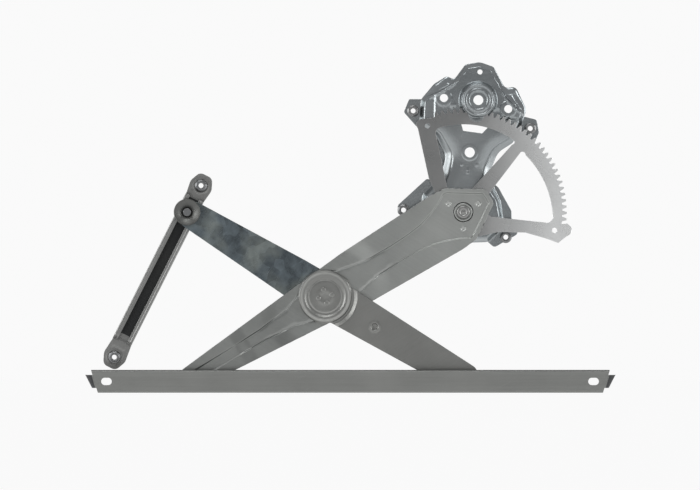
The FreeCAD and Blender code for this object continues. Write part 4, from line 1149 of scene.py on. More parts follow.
@dataclass
class Sector:
    """The flat toothed sector with its two windows."""

    module: float = 2.0
    circle_teeth: int = 102
    teeth: int = 32
    first_tooth: float = -4.0
    pressure_angle: float = 20.0
    addendum: float = 1.0
    dedendum: float = 1.25
    face: float = -0.8
    gauge: float = 2.5
    round_holes: tuple[Point, ...] = ((91.4, -18.2), (-35.9, 86.3))
    round_hole: float = 2.5
    window_reach: float = 88.0
    edge: float = 0.28
    pitch: float = 2.6

    def half_tooth(self, radius: float) -> float:
        """Half of one tooth's width at a radius, in degrees, for an involute flank.

        Args:
            radius: The radius in millimetres.

        Returns:
            The angle seen from the pivot.
        """
        pitch_radius = self.module * self.circle_teeth / 2
        pressed = math.radians(self.pressure_angle)
        local = math.acos(pitch_radius * math.cos(pressed) / radius)
        growth = (math.tan(pressed) - pressed) - (math.tan(local) - local)
        return 90.0 / self.circle_teeth + math.degrees(growth)

    def rim(self) -> list[Point]:
        """The toothed edge, from its right end to its left end."""
        pitch = 360.0 / self.circle_teeth
        root = self.module * (self.circle_teeth / 2 - self.dedendum)
        tip = self.module * (self.circle_teeth / 2 + self.addendum)
        levels = (root, (root + tip) / 2, tip)
        points = [polar(root, self.first_tooth - 0.8 * pitch)]
        for tooth in range(self.teeth):
            middle = self.first_tooth + tooth * pitch
            points += [polar(r, middle - self.half_tooth(r)) for r in levels]
            points += [polar(r, middle + self.half_tooth(r)) for r in reversed(levels)]
        points.append(polar(root, self.first_tooth + (self.teeth - 0.2) * pitch))
        return points

    def outline(self) -> Array:
        """The sector's outer edge."""
        rim = self.rim()
        foot = [(14.4, -24.2), (35.6, -19.8), (62.1, -20.5), (82.6, -26.4), (95.1, -31.0), (107.8, -21.0),
                (108.5, -15.2), (104.0, -11.3), rim[0]]
        rest = path_of((-41.5, 93.5), [(-46.5, 90.0), (-45.5, 84.0)], [(-34.5, 34.0)], [(-25.0, 12.0)],
                       [(-20.5, -17.0), (0.0, -26.5)], *([end] for end in foot))
        return np.concatenate((np.array(rim), rest))

    def windows(self) -> list[Array]:
        """The two windows."""
        left, top, right = (polar(self.window_reach, angle) for angle in (106.0, 80.0, 55.5))
        tall = path_of(right, [top, left], [(-26.8, 82.6), (-27.5, 78.5)], [(-16.0, 24.0)], [(-13.5, 21.5)],
                       [(6.5, 21.5)], [(9.0, 24.0)], [(26.9, 43.3), (48.9, 67.5)], [(51.2, 71.0), right])
        low = path_of((84.5, -10.6), [(88.6, -8.0), (89.6, -2.5)], [(82.6, 27.0), (62.5, 57.0)],
                      [(60.2, 60.2), (57.6, 60.0)], [(23.5, 15.5)], [(24.0, -2.0)], [(28.4, -4.4)],
                      [(53.3, -7.3)], [(84.5, -10.6)])
        return [tall, low]

    def build(self) -> None:
        """Makes the sector."""
        holes = self.windows() + [circle(at, self.round_hole, 24) for at in self.round_holes]
        holes += [circle((0.0, 0.0), BUSH_HOLE)] + clinch_holes()
        plate = PressedSheet("sector_sheet", PIVOT_PLACE, [self.outline()],
                             lambda points: np.full(len(points), self.face), self.gauge, holes=holes,
                             pitch=self.pitch, edge=self.edge).build()
        dressed(plate, "lift_arm_body", Metal.SECTOR, ["sector_gear"])


@dataclass(frozen=True)
class Screw:
    """A screw hole with a raised pad around it."""

    at: Point
    hole: float
    sides: int
    rise: float


@dataclass(frozen=True)
class Terrace:
    """A lowered field of the web. Each bound has an axis, a side, a place and a width."""

    deep: float
    bounds: tuple[tuple[int, float, float, float], ...]

    def share(self, points: Array) -> Array:
        """One where the field lies, nought around it."""
        result = np.ones(len(points))
        for axis, side, at, width in self.bounds:
            result *= step(side * (points[:, axis] - at), width)
        return result


@dataclass
class Base:
    """The drawn plate: a pan with sloping sides, flat lugs at the door and a boss for the pinion."""

    lug_face: float = -14.4
    web_face: float = -5.0
    gauge: float = 1.6
    side: float = 5.0
    waist_side: float = 9.0
    waist: Point = (48.0, 26.0)
    shoulders: tuple[Triple, ...] = ((-27.0, 128.0, 5.5), (53.0, 119.0, 4.5))
    shoulder_reach: float = 13.0
    fold: tuple[Point, ...] = (
        (-46.0, 112.5), (-24.0, 121.0), (-11.0, 129.0), (-3.0, 137.0), (5.0, 150.0), (17.0, 166.0),
        (29.0, 150.0), (36.0, 129.5), (42.5, 115.5), (52.0, 106.0), (66.0, 96.0))
    fold_lean: float = 0.75
    fold_drop: float = 3.6
    fold_width: float = 1.7
    fold_bead: Triple = (-1.6, 0.8, 0.6)
    fold_spans: tuple[Point, ...] = ((-44.0, 4.0), (30.0, 64.0))
    fold_pitch: float = 1.3
    fold_shifts: tuple[float, ...] = (-2.6, -1.6, -0.7, 0.0, 0.7, 1.6)
    rim_insets: tuple[float, ...] = (0.7, 1.5, 2.4, 3.4, 4.5, 5.6, 6.8, 8.1, 9.5)
    boss_folds: tuple[float, ...] = (16.8, 17.0, 17.2, 17.5, 18.3, 19.0, 19.8)
    cap_folds: tuple[float, ...] = (16.5, 16.0, 15.5, 14.8, 14.2, 13.6, 12.4, 11.8, 11.2, 9.5, 9.0, 8.5)
    screw_folds: Triple = (7.4, 8.2, 9.0)
    crown_drop: float = 5.0
    crown_reach: float = 19.0
    pitch: float = 1.6
    cap_pitch: float = 1.2
    boss_front: float = 5.5
    boss_side: Point = (15.4, 19.7)
    boss_groove: Point = (11.8, 14.2)
    boss_relief: float = 0.9
    relief_width: float = 1.2
    dish: float = 9.0
    bore: float = 4.9
    cap_radius: float = 17.1
    cap_lap: float = 1.2
    tongue_face: float = 1.6
    tongue_bead: float = 1.1
    tongue_half_width: float = 8.0
    tongue_reach: float = 22.0
    pinion_angle: float = 82.4
    window_turn: float = 10.6
    rim_reach: float = 105.3
    foot_reach: float = 2.6
    foot_turn: float = 7.8
    window_reach: float = 97.5
    pan_lap: float = 0.5
    screws: tuple[Screw, ...] = (Screw((-19.3, 114.4), 4.0, 36, 0.8), Screw((45.2, 103.4), 4.0, 36, 0.8),
                                 Screw((6.6, 59.9), 5.0, 40, 0.3))
    screw_pad: Point = (8.2, 1.6)
    lobe_hole: Point = (16.9, 140.6)
    lobe_drop: float = 0.8
    lobe_fold: Point = (17.0, 134.5)
    lobe_half: float = 9.0
    lobe_bend: float = 1.4
    lobe_width: float = 6.5
    terraces: tuple[Terrace, ...] = (
        Terrace(1.5, ((0, -1.0, -28.6, 2.2), (1, 1.0, 86.0, 5.0), (1, -1.0, 122.0, 6.0))),
        Terrace(1.8, ((0, 1.0, 38.0, 3.0), (1, -1.0, 93.5, 2.2), (1, 1.0, 83.0, 5.0))))
    pads: tuple[tuple[Point, float, float], ...] = (((-10.5, 107.6), 2.8, 0.7), ((34.2, 100.0), 3.2, -0.7))
    lug_holes: tuple[Point, ...] = ((-50.0, 101.8), (67.6, 84.1), (-59.7, 2.2), (43.0, -25.0))
    lug_hole: float = 3.3
    marks: tuple[Point, ...] = ((-1.6, 47.5), (13.5, 47.2), (4.6, 42.5), (4.6, 40.0))
    mark_rise: float = 0.35
    rim: tuple[Triple, ...] = (
        (42.0, -14.0, 7.0), (38.0, 12.0, 9.0), (25.5, 36.0, 18.0), (35.0, 60.0, 18.0), (50.0, 69.5, 9.0),
        (58.0, 84.0, 7.0), (64.0, 103.0, 12.0), (53.0, 126.5, 6.0), (42.5, 124.5, 5.0), (31.0, 146.0, 5.0),
        (17.0, 151.0, 14.0), (2.5, 148.5, 5.0), (-9.0, 133.0, 6.0), (-16.0, 137.0, 5.0), (-29.0, 129.0, 14.0),
        (-42.5, 113.0, 9.0), (-44.0, 88.0, 8.0), (-27.0, 77.0, 12.0), (-17.0, 57.0, 16.0),
        (-22.0, 37.0, 14.0), (-42.0, 17.0, 10.0), (-38.0, -8.0, 9.0), (-10.0, -31.0, 14.0),
        (26.0, -30.0, 10.0))
    lugs: tuple[tuple[Triple, ...], ...] = (
        ((-38.0, 113.7, 2.0), (-54.0, 113.7, 2.0), (-59.4, 100.5, 2.5), (-46.4, 85.8, 2.5),
         (-36.0, 88.0, 2.0)),
        ((58.0, 74.0, 2.0), (72.4, 71.0, 3.0), (76.5, 80.0, 3.0), (74.0, 93.0, 3.0), (60.0, 96.5, 2.0)),
        ((-28.0, 30.0, 3.0), (-36.0, 34.0, 3.0), (-65.5, 7.0, 4.0), (-65.5, -1.0, 3.0), (-60.0, -5.0, 3.0),
         (-30.0, -4.0, 3.0)),
        ((30.0, -12.0, 3.0), (24.0, -29.0, 3.0), (31.5, -35.5, 4.0), (56.0, -21.5, 4.0), (50.0, -8.0, 3.0),
         (36.0, 0.0, 3.0)),
        ((-42.0, 90.0, 3.0), (-33.5, 79.0, 8.0), (-28.5, 60.0, 16.0), (-29.5, 40.0, 12.0), (-41.0, 20.0, 3.0),
         (-20.0, 30.0, 3.0), (-13.0, 57.0, 16.0), (-24.0, 82.0, 3.0)),
        ((31.0, 29.0, 2.0), (36.0, 24.5, 2.0), (48.8, 1.4, 3.0), (49.0, -10.0, 2.0), (36.0, -10.0, 2.0),
         (34.0, 10.0, 4.0), (26.0, 28.0, 2.0)))

    def window(self) -> Array:
        """The opening behind the sector's rim."""
        reach = self.window_reach
        low, high = self.pinion_angle - self.window_turn, self.pinion_angle + self.window_turn
        right, top, left = (polar(reach, a) for a in (low, self.pinion_angle, high))
        return path_of(right, [top, left], [(-2.0, 89.0)], [(0.0, 81.6)], [(19.0, 79.0)], [(26.0, 86.0)],
                       [right])

    def tongue(self) -> Array:
        """The slot-shaped tongue below the pinion bore."""
        far = self.tongue_reach - self.tongue_half_width
        end = polar(far, self.pinion_angle - 180.0, BORE)
        turn = np.radians(np.linspace(self.pinion_angle + 90.0, self.pinion_angle + 270.0, 30))
        tip = np.column_stack((end[0] + self.tongue_half_width * np.cos(turn),
                               end[1] + self.tongue_half_width * np.sin(turn)))
        root = [polar(self.tongue_half_width + 1.6, self.pinion_angle - 90.0, BORE),
                polar(self.tongue_half_width + 1.6, self.pinion_angle + 90.0, BORE)]
        return np.concatenate((tip, np.array(root)))

    def boss(self, points: Array) -> Array:
        """The boss above the web: a cone with two rings and a dished top.

        Args:
            points: Rows of two coordinates.

        Returns:
            One height above the web for each point.
        """
        radius = apart(points, BORE)
        rise = (self.boss_front - self.web_face) * (1 - ramp(radius, *self.boss_side))
        low, high = self.boss_groove
        groove = step(radius - low, self.relief_width) * (1 - step(radius - high, self.relief_width))
        dish = 1 - step(radius - self.dish, 1.0)
        return rise - self.boss_relief * (groove + dish)

    def clear_of_sector(self, points: Array) -> Array:
        """One where the boss may stand, nought where the sector's rim and foot pass."""
        angle = np.degrees(np.arctan2(points[:, 1], points[:, 0]))
        reach = self.rim_reach + self.foot_reach * step(self.pinion_angle - self.foot_turn - angle, 0.8)
        return step(apart(points, (0.0, 0.0)) - reach, 0.6)

    def past_fold(self, points: Array) -> Array:
        """How far a point lies past the fold between the pan's middle and its two ears."""
        line = np.array(self.fold)
        return self.fold_lean * (points[:, 1] - np.interp(points[:, 0], line[:, 0], line[:, 1]))

    def rise(self, points: Array, inward: Array, waist: Array) -> Array:
        """How far the pan's side has risen from the lugs to the web.

        Args:
            points: Rows of two coordinates.
            inward: Each point's distance from the pan's rim.
            waist: How near each point lies to the waist, from 0 to 1.

        Returns:
            A share from 0 to 1 for each point. The side is rounder at the waist.
        """
        width = self.side + (self.waist_side - self.side) * waist
        for at_x, at_z, wider in self.shoulders:
            width += wider * ridge(apart(points, (at_x, at_z)), self.shoulder_reach)
        swell = 1.0 - (1.0 - np.clip(inward / (1.15 * width), 0.0, 1.0)) ** 2.4
        return (1.0 - waist) * step(inward / width - 0.5, 1.0) + waist * swell

    def relief(self, points: Array) -> Array:
        """The height of the forms that are pressed into the web alone.

        Args:
            points: Rows of two coordinates.

        Returns:
            One height for each point, below nought where it's deeper.
        """
        x, z = points[:, 0], points[:, 1]
        middle, low = self.lobe_fold
        bend = ((x - middle) / self.lobe_half) ** 2 * self.lobe_bend
        height = -self.lobe_drop * step(z - low - bend, self.lobe_width)
        past = self.past_fold(points)
        at, width, tall = self.fold_bead
        height += tall * ridge(past - at, width) - self.fold_drop * step(past, self.fold_width)
        for terrace in self.terraces:
            height -= terrace.deep * terrace.share(points)
        return height

    def web(self, points: Array) -> Array:
        """The forward height of the pan and the lugs.

        Args:
            points: Rows of two coordinates.

        Returns:
            One height for each point.
        """
        inward = depth(points, rounded(self.rim))
        waist = ridge(points[:, 1] - self.waist[0], self.waist[1])
        rise = self.rise(points, inward, waist)
        crown = self.crown_drop * waist * np.clip(1.0 - inward / self.crown_reach, 0.0, 1.0) ** 2
        height = self.lug_face + (self.web_face - self.lug_face - crown + self.relief(points)) * rise
        height += self.boss(points) * self.clear_of_sector(points)
        height -= self.pan_lap * step(self.cap_radius + 0.1 - apart(points, BORE), 0.5)
        for screw in self.screws:
            height += screw.rise * (1 - step(apart(points, screw.at) - self.screw_pad[0], self.screw_pad[1]))
        for mark in self.marks:
            height += self.mark_rise * ridge(apart(points, mark), 1.0)
        for centre, radius, tall in self.pads:
            height += tall * pad(points, centre, radius)
        return height

    def cap(self, points: Array) -> Array:
        """The forward height of the boss and of the tongue that reaches over the sector."""
        boss = self.web_face + self.boss(points)
        edge = depth(points, self.tongue())
        tongue = self.tongue_face - self.tongue_bead * step(edge - 3.0, 1.4)
        return np.maximum(boss, tongue)

    def inner_lines(self) -> list[Array]:
        """Points along the fold lines of the pan, the boss and the screw pads."""
        rim = rounded(self.rim)
        lines = [inset(rim, amount, self.pitch) for amount in self.rim_insets]
        for reach in (-0.3, 0.3):
            swept = np.linspace(self.pinion_angle - 8.0, self.pinion_angle + self.window_turn, 60)
            lines.append(np.array([polar(self.rim_reach + reach, a) for a in swept]))
        line = np.array(self.fold)
        across = np.concatenate([np.arange(*span, self.fold_pitch) for span in self.fold_spans])
        for past in self.fold_shifts:
            fold = np.interp(across, line[:, 0], line[:, 1]) + past / self.fold_lean
            along = np.column_stack((across, fold))
            lines.append(along[depth(along, rim) > 0.8])
        lines += rings(BORE, self.boss_folds)
        return lines + [circle(screw.at, r, 44) for screw in self.screws for r in self.screw_folds]

    def build(self) -> None:
        """Makes the plate from its pan and its cap."""
        rim = rounded(self.rim)
        holes = [self.window(), circle(BORE, self.cap_radius - self.cap_lap, 90)]
        holes += [circle(screw.at, screw.hole, screw.sides) for screw in self.screws]
        holes += [circle(self.lobe_hole, 2.5, 28)] + [circle(c, self.lug_hole, 28) for c in self.lug_holes]
        pan = PressedSheet("base_pan_sheet", PIVOT_PLACE, [rim] + [rounded(c) for c in self.lugs], self.web,
                           self.gauge, holes=holes, creases=self.inner_lines(), pitch=self.pitch).build()
        dressed(pan, "base", Metal.BASE, ["base_plate"])
        cap = PressedSheet("base_boss_sheet", PIVOT_PLACE, [circle(BORE, self.cap_radius, 90), self.tongue()],
                           self.cap, self.gauge, holes=[circle(BORE, self.bore, 40)],
                           creases=rings(BORE, self.cap_folds), pitch=self.cap_pitch).build()
        dressed(cap, "base", Metal.BASE, ["base_plate"])


@dataclass(frozen=True)
class Fastener:
    """A kind of small head that is repeated, turned from a profile of radius and height."""

    name: str
    profile: tuple[Point, ...]
    sides: int = 48
    hexagon: tuple[int, ...] = ()
    hollow: bool = False

    def across(self, radius: float, row: int, share: float) -> float:
        """The radius at a share of the turn: on a hexagon for the rows that have one."""
        if row not in self.hexagon:
            return radius
        angle = (share * 6 % 1.0 - 0.5) * math.pi / 3
        return radius * min(1.0, math.cos(math.pi / 6) / math.cos(angle) * 1.02)

    def build(self) -> bpy.types.Object:
        """One head as an object of its own, out of the scene, made once.

        Returns:
            The object that a tree repeats.
        """
        found = bpy.data.objects.get(self.name)
        if found:
            return found
        mesh = bpy.data.meshes.new(self.name)
        with opened(mesh) as work:
            rows: list[list[bmesh.types.BMVert]] = []
            for row, (radius, height) in enumerate(self.profile):
                rows.append([])
                for k in range(self.sides):
                    reach = self.across(radius, row, k / self.sides) * MM
                    turn = 2 * math.pi * k / self.sides
                    place = (reach * math.cos(turn), -height * MM, reach * math.sin(turn))
                    rows[-1].append(work.verts.new(place))
            around = rows + rows[:1] if self.hollow else rows
            for low, high in zip(around, around[1:]):
                for k in range(self.sides):
                    after = (k + 1) % self.sides
                    work.faces.new((low[k], low[after], high[after], high[k]))
            if not self.hollow:
                work.faces.new(list(reversed(rows[0])))
                work.faces.new(rows[-1])
            bmesh.ops.recalc_face_normals(work, faces=work.faces)
        smooth(mesh)
        return bpy.data.objects.new(self.name, mesh)


class Repeat:
    """A node tree that sets one piece on every point of a mesh, each turned a little at random."""

    def __init__(self) -> None:
        """Builds the tree with its named inputs."""
        self.group = bpy.data.node_groups.new("repeat_on_points", "GeometryNodeTree")
        for name, way, kind in (("Points", "INPUT", "Geometry"), ("Piece", "INPUT", "Object"),
                                ("Finish", "INPUT", "Material"), ("Most Turn", "INPUT", "Float"),
                                ("Seed", "INPUT", "Int"), ("Pieces", "OUTPUT", "Geometry")):
            self.group.interface.new_socket(name, in_out=way, socket_type=f"NodeSocket{kind}")
        tree = Tree(self.group)
        given = tree.node("NodeGroupInput", {}, {}, "Points")
        piece = tree.node("GeometryNodeObjectInfo", {}, {"Object": given.beside("Piece")}, "Geometry")
        chance = tree.node("FunctionNodeRandomValue", {"data_type": "FLOAT"},
                           {3: given.beside("Most Turn"), "Seed": given.beside("Seed")}, 1)
        turn = tree.node("ShaderNodeCombineXYZ", {}, {"Y": chance})
        placed = tree.node("GeometryNodeInstanceOnPoints", {},
                           {"Points": given, "Instance": piece, "Rotation": turn})
        real = tree.node("GeometryNodeRealizeInstances", {}, {"Geometry": placed})
        painted = tree.node("GeometryNodeSetMaterial", {},
                            {"Geometry": real, "Material": given.beside("Finish")})
        tree.node("NodeGroupOutput", {}, {"Pieces": painted})

    def over(self, name: str, points: Array, piece: bpy.types.Object, metal: Metal, most_turn: float,
             seed: int) -> bpy.types.Object:
        """Sets a piece on points of the frame.

        Args:
            name: The new object's name.
            points: Rows of three coordinates in metres.
            piece: What stands on each point.
            metal: The finish.
            most_turn: The largest turn about the forward axis, in radians.
            seed: What the turns are drawn from.

        Returns:
            One plain object that holds all of them.
        """
        mesh = bpy.data.meshes.new(name)
        mesh.from_pydata(points.tolist(), [], [])
        holder = new_piece(name, mesh)
        modifier = holder.modifiers.new("repeat", "NODES")
        modifier.node_group = self.group
        sockets = {item.name: item.identifier for item in self.group.interface.items_tree}
        for socket, given in (("Piece", piece), ("Finish", metal.material()), ("Most Turn", most_turn),
                              ("Seed", seed)):
            modifier[sockets[socket]] = given
        return settled(holder)


@dataclass
class Softened:
    """Pieces that keep their solid's form and get rounded edges and a finish."""

    body: str
    metal: Metal
    slot: str
    nodes: tuple[str, ...]
    radius: float = 0.3

    def build(self) -> None:
        """Makes one piece for each solid."""
        for node in self.nodes:
            piece = softened(node, f"{node}_piece", self.radius)
            dressed(piece, self.body, self.metal, [node])


@dataclass
class Rail:
    """The glass rail, with slanting ends and dark bent stops. Its sizes are in metres of the frame."""

    left: float = -0.3838
    right: float = 0.1280
    far_left: float = -0.39194
    far_right: float = 0.13605
    middle: float = -0.28082
    half_height: float = 0.01125
    slant: float = 0.0034
    edge: float = 0.3
    end_zone: float = 0.0016
    cut_lap: float = 0.0002
    paint_lap: float = 0.00025
    stop_height: float = 0.0125
    stop_from: float = 0.0035
    stop_cut: float = 0.0045

    def lean(self, height: float) -> float:
        """How far the slanting ends have moved outwards at a height of the frame."""
        return self.slant / self.half_height * (height - self.middle)

    def past_end(self, at: Vector, margin: float) -> int:
        """-1 or 1 where a place lies past the left or the right slanting end by a margin, else 0."""
        drop = self.lean(at.z)
        return int(at.x - drop > self.right + margin) - int(at.x + drop < self.left - margin)

    def slanted(self, rail: bpy.types.Object) -> None:
        """Slants the rail's ends and adds an edge along each of them.

        Args:
            rail: The rail as softened, with straight ends.
        """
        for vertex in rail.data.vertices:
            place = vertex.co
            if place.x < self.left + self.end_zone:
                place.x = max(self.far_left, place.x - self.lean(place.z))
            elif place.x > self.right - self.end_zone:
                place.x = min(self.far_right, place.x + self.lean(place.z))
        with opened(rail.data) as work:
            for end, sign in ((self.left, 1.0), (self.right, -1.0)):
                bmesh.ops.bisect_plane(work, geom=work.verts[:] + work.edges[:] + work.faces[:], dist=1e-7,
                                       plane_co=(end - sign * self.cut_lap, 0.0, self.middle),
                                       plane_no=(1.0, 0.0, sign * self.slant / self.half_height))

    def build(self) -> None:
        """Makes the rail from its solid, with slanting ends and stops."""
        rail = softened("glass_rail", "glass_rail_piece", self.edge)
        self.slanted(rail)
        for vertex in rail.data.vertices:
            share = min(1.0, max(0.0, 0.5 - (vertex.co.z - self.middle) / self.stop_height))
            vertex.co.x -= self.past_end(vertex.co, self.stop_from) * share * self.stop_cut
        dressed(rail, "rail_body", Metal.RAIL, ["glass_rail"])
        patched(rail, Metal.DARK, lambda at, way: self.past_end(at, self.paint_lap) != 0)


@dataclass
class Guide:
    """The guide channel's floor with its ears; its two rolled sides."""

    floor_face: float = -14.5
    gauge: float = 1.5
    half_width: float = 10.0
    half_slot: float = 5.0
    front: float = -6.0
    start: float = -17.0
    end: float = 146.0
    ears: Point = (-30.0, 163.0)
    ear: float = 11.5
    ear_hole: float = 3.3
    ear_bead: Triple = (7.2, 0.9, 0.35)
    step_height: float = 0.25
    step_width: float = 1.6
    step_share: float = 0.9
    step_reach: float = 7.0
    steps: tuple[Point, ...] = ((144.0, 153.0), (-23.0, -16.0))
    shade_span: Point = (-15.0, 138.0)
    ear_folds: tuple[float, ...] = (6.2, 6.8, 7.4, 8.2)
    lip: Triple = (2.9, 2.3, 0.5)
    station: float = 6.0
    pitch: float = 2.0

    def floor(self, points: Array) -> Array:
        """The forward height of the floor and the ears, with a pressed step at each end.

        Args:
            points: Rows of two coordinates.

        Returns:
            One height for each point.
        """
        reach, side = points[:, 0], points[:, 1]
        height = np.full(len(points), self.floor_face - self.step_height)
        radius, width, rise = self.ear_bead
        for middle in self.ears:
            height += rise * ridge(apart(points, (middle, 0.0)) - radius, width)
        for low, high in self.steps:
            lifted = step(reach - low, self.step_width) * step(high - reach, self.step_width)
            height += self.step_share * self.step_height * lifted * (np.abs(side) < self.step_reach)
        return height

    def side(self, name: str, sign: float) -> bpy.types.Object:
        """One rolled side with a pressed line along its face.

        Args:
            name: The piece's name.
            sign: Which side of the channel it stands on.

        Returns:
            The side.
        """
        wide, slot, gauge = self.half_width, self.half_slot, self.gauge
        front, foot = self.front, self.floor_face
        run, fall, drop = self.lip
        section = rounded([(wide, foot, 0.15), (wide, front, 1.5), (slot + run, front, 0.3),
                           (slot + fall, front - drop, 0.3), (slot, front - drop, 0.3),
                           (slot, front - gauge, 0.3), (wide - gauge, front - gauge, 0.5),
                           (wide - gauge, foot, 0.15)], 4)
        stations = np.concatenate(((self.start,), np.arange(self.start + 1.0, self.end - 0.5, self.station),
                                   (self.end,)))
        rows = []
        for reach in stations:
            plan = np.column_stack((np.full(len(section), reach), sign * section[:, 0]))
            rows.append(GUIDE_PLACE.to_frame(plan, section[:, 1]))
        count = len(section)
        last = (len(stations) - 1) * count
        faces = [[row + k, row + (k + 1) % count, row + count + (k + 1) % count, row + count + k]
                 for row in range(0, last, count) for k in range(count)]
        faces += [list(range(count)), [last + k for k in range(count)]]
        mesh = bpy.data.meshes.new(name)
        mesh.from_pydata(np.concatenate(rows).tolist(), [], faces)
        with opened(mesh) as work:
            bmesh.ops.recalc_face_normals(work, faces=work.faces)
        return evened(new_piece(name, mesh))

    def build(self) -> None:
        """Makes the floor and both sides."""
        ear, half = self.ear, self.half_width
        outline = rounded(mirrored([
            (self.ears[0] - ear, 0.6 * ear, 0.55 * ear), (self.ears[0], ear + 0.4, 0.8 * ear),
            (self.start, half, 6.0), (self.end, half, 6.0), (self.ears[1], ear + 0.4, 0.8 * ear),
            (self.ears[1] + ear, 0.6 * ear, 0.55 * ear)]))
        holes = [circle((u, 0.0), self.ear_hole, 32) for u in self.ears]
        folds = [circle((u, 0.0), r, int(4 * r)) for u in self.ears for r in self.ear_folds]
        across = np.linspace(-half + 0.6, half - 0.6, 20)
        folds += [np.column_stack((np.full(20, u), across)) for u in self.shade_span]
        floor = PressedSheet("guide_floor_sheet", GUIDE_PLACE, [outline], self.floor,
                             self.gauge - self.step_height, holes=holes, creases=folds,
                             pitch=self.pitch).build()
        dressed(floor, "guide_channel_body", Metal.GUIDE, ["guide_channel"])
        origin = GUIDE_PLACE.spots([(0.0, 0.0)])[0]
        turn = math.radians(GUIDE_PLACE.degrees)

        def in_slot(at: Vector, way: Vector) -> bool:
            """Whether a face lies on the floor between the sides."""
            x, z = (at.x - origin[0]) / MM, (at.z - origin[2]) / MM
            reach = x * math.cos(turn) + z * math.sin(turn)
            across = -x * math.sin(turn) + z * math.cos(turn)
            return way.y < -0.5 and abs(across) < half - 0.5 and self.shade_span[0] < reach < self.shade_span[1]

        # Painted shade on the channel floor between the sides.
        patched(floor, Metal.SLOT_SHADE, in_slot)
        for name, sign in (("guide_left_side", -1.0), ("guide_right_side", 1.0)):
            dressed(self.side(f"{name}_sheet", sign), "guide_channel_body", Metal.GUIDE, [name])


@dataclass
class Heads:
    """Equal small heads that one node tree sets on their places."""

    name: str
    at: Array
    form: Fastener
    metal: Metal
    body: str
    slot: str
    nodes: tuple[str, ...]
    most_turn: float = 0.0
    seed: int = 1

    def build(self, repeat: Repeat) -> None:
        """Sets the heads and dresses them."""
        piece = repeat.over(self.name, self.at, self.form.build(), self.metal, self.most_turn, self.seed)
        dressed(piece, self.body, self.metal, self.nodes)


@dataclass
class Fasteners:
    """The small heads that the solids carry as plain discs. The thread is the nut's, from the bottom up."""

    thread: ClassVar[tuple[Point, ...]] = tuple((2.5 if k % 2 else 2.72, 0.2 + 0.5 * k) for k in range(9))
    nut: Fastener = Fastener("weld_nut_form", (
        (2.9, 0.0), (5.7, 0.0), (6.0, 0.3), (6.0, 0.9), (5.75, 1.2), (5.773, 1.25), (5.773, 4.3), (5.0, 5.0),
        (3.1, 5.0), (2.6, 4.6)) + thread[::-1], 96, hexagon=(5, 6), hollow=True)
    pivot_stud: Fastener = Fastener("pivot_stud_form", (
        (0.6, -8.6), (6.3, -8.6), (7.0, -8.0), (7.0, -6.9), (6.8, -6.6), (4.95, -6.6), (4.95, 1.5),
        (6.1, 1.5), (6.4, 1.8), (6.4, 2.6), (6.0, 3.1), (5.3, 3.4), (4.3, 3.5), (3.6, 3.4), (3.1, 2.9),
        (2.4, 2.6), (1.6, 2.75), (1.0, 3.05), (0.4, 3.1)), 64)
    bush: Fastener = Fastener("pivot_bush_form", (
        (5.1, -3.3), (9.8, -3.3), (10.0, -3.1), (10.0, -0.7), (9.3, -0.5), (9.1, 0.9), (8.8, 1.25),
        (7.7, 1.3), (7.2, 1.0), (6.6, 0.9), (5.1, 0.8)), 72, hollow=True)
    washer: Fastener = Fastener("guide_washer_form", (
        (3.05, -1.1), (13.0, -1.1), (13.3, -0.8), (13.3, -0.35), (12.9, 0.1), (12.3, 0.1), (11.9, -0.2),
        (3.05, -0.2)), 96, hollow=True)
    clinch: Fastener = Fastener("clinch_form", (
        (2.35, -4.4), (2.35, 0.0), (3.3, 0.0), (3.3, 0.25), (3.0, 0.5), (2.4, 0.6), (1.9, 0.45), (1.5, 0.05),
        (0.6, -0.1)))
    rivet: Fastener = Fastener("rivet_form", (
        (1.75, -9.0), (1.75, 0.0), (2.6, 0.0), (2.6, 0.2), (2.35, 0.45), (1.6, 0.6), (0.5, 0.6)))

    def heads(self) -> list[Heads]:
        """Every group of heads, with its places in the frame."""
        base, guide = Base(), Guide()
        pivot = PIVOT_PLACE.spots([(0.0, 0.0)])
        clinches = [polar(CLINCH_CIRCLE, a) for a in CLINCH_ANGLES]
        return [
            Heads("base_weld_nuts", PIVOT_PLACE.spots(base.lug_holes, base.lug_face), self.nut, Metal.NUT,
                  "base", "dark_steel",
                  ("left_weld_nut", "right_weld_nut", "low_left_weld_nut", "low_right_weld_nut"), 1.0, 11),
            Heads("guide_weld_nuts", GUIDE_PLACE.spots([(u, 0.0) for u in guide.ears], guide.floor_face),
                  self.nut, Metal.NUT, "guide_channel_body", "dark_steel",
                  ("upper_guide_nut", "lower_guide_nut"), 1.0, 12),
            Heads("main_pivot_piece", pivot, self.pivot_stud, Metal.GUIDE, "base", "bright_zinc",
                  ("main_pivot_stud",)),
            Heads("pivot_bush_piece", pivot, self.bush, Metal.LIFT, "lift_arm_body", "nylon",
                  ("pivot_bush",)),
            Heads("guide_washer_piece", PIVOT_PLACE.spots([GUIDE_PIN]), self.washer, Metal.RAIL,
                  "balance_arm_body", "bright_zinc", ("guide_washer",)),
            Heads("clinch_dimples", PIVOT_PLACE.spots(clinches, LiftArm().floor), self.clinch, Metal.LIFT,
                  "lift_arm_body", "bright_zinc", ("arm_clinches",), 0.3, 3),
            Heads("middle_rivet_heads", FRONT_HALF_PLACE.spots(MIDDLE_RIVETS, 5.5), self.rivet,
                  Metal.FRONT_HALF, "balance_arm_body", "bright_zinc", ("centre_rivets",), 0.3, 5)]

    def build(self) -> None:
        """Sets all heads by one node tree."""
        repeat = Repeat()
        for group in self.heads():
            group.build(repeat)


# Studio

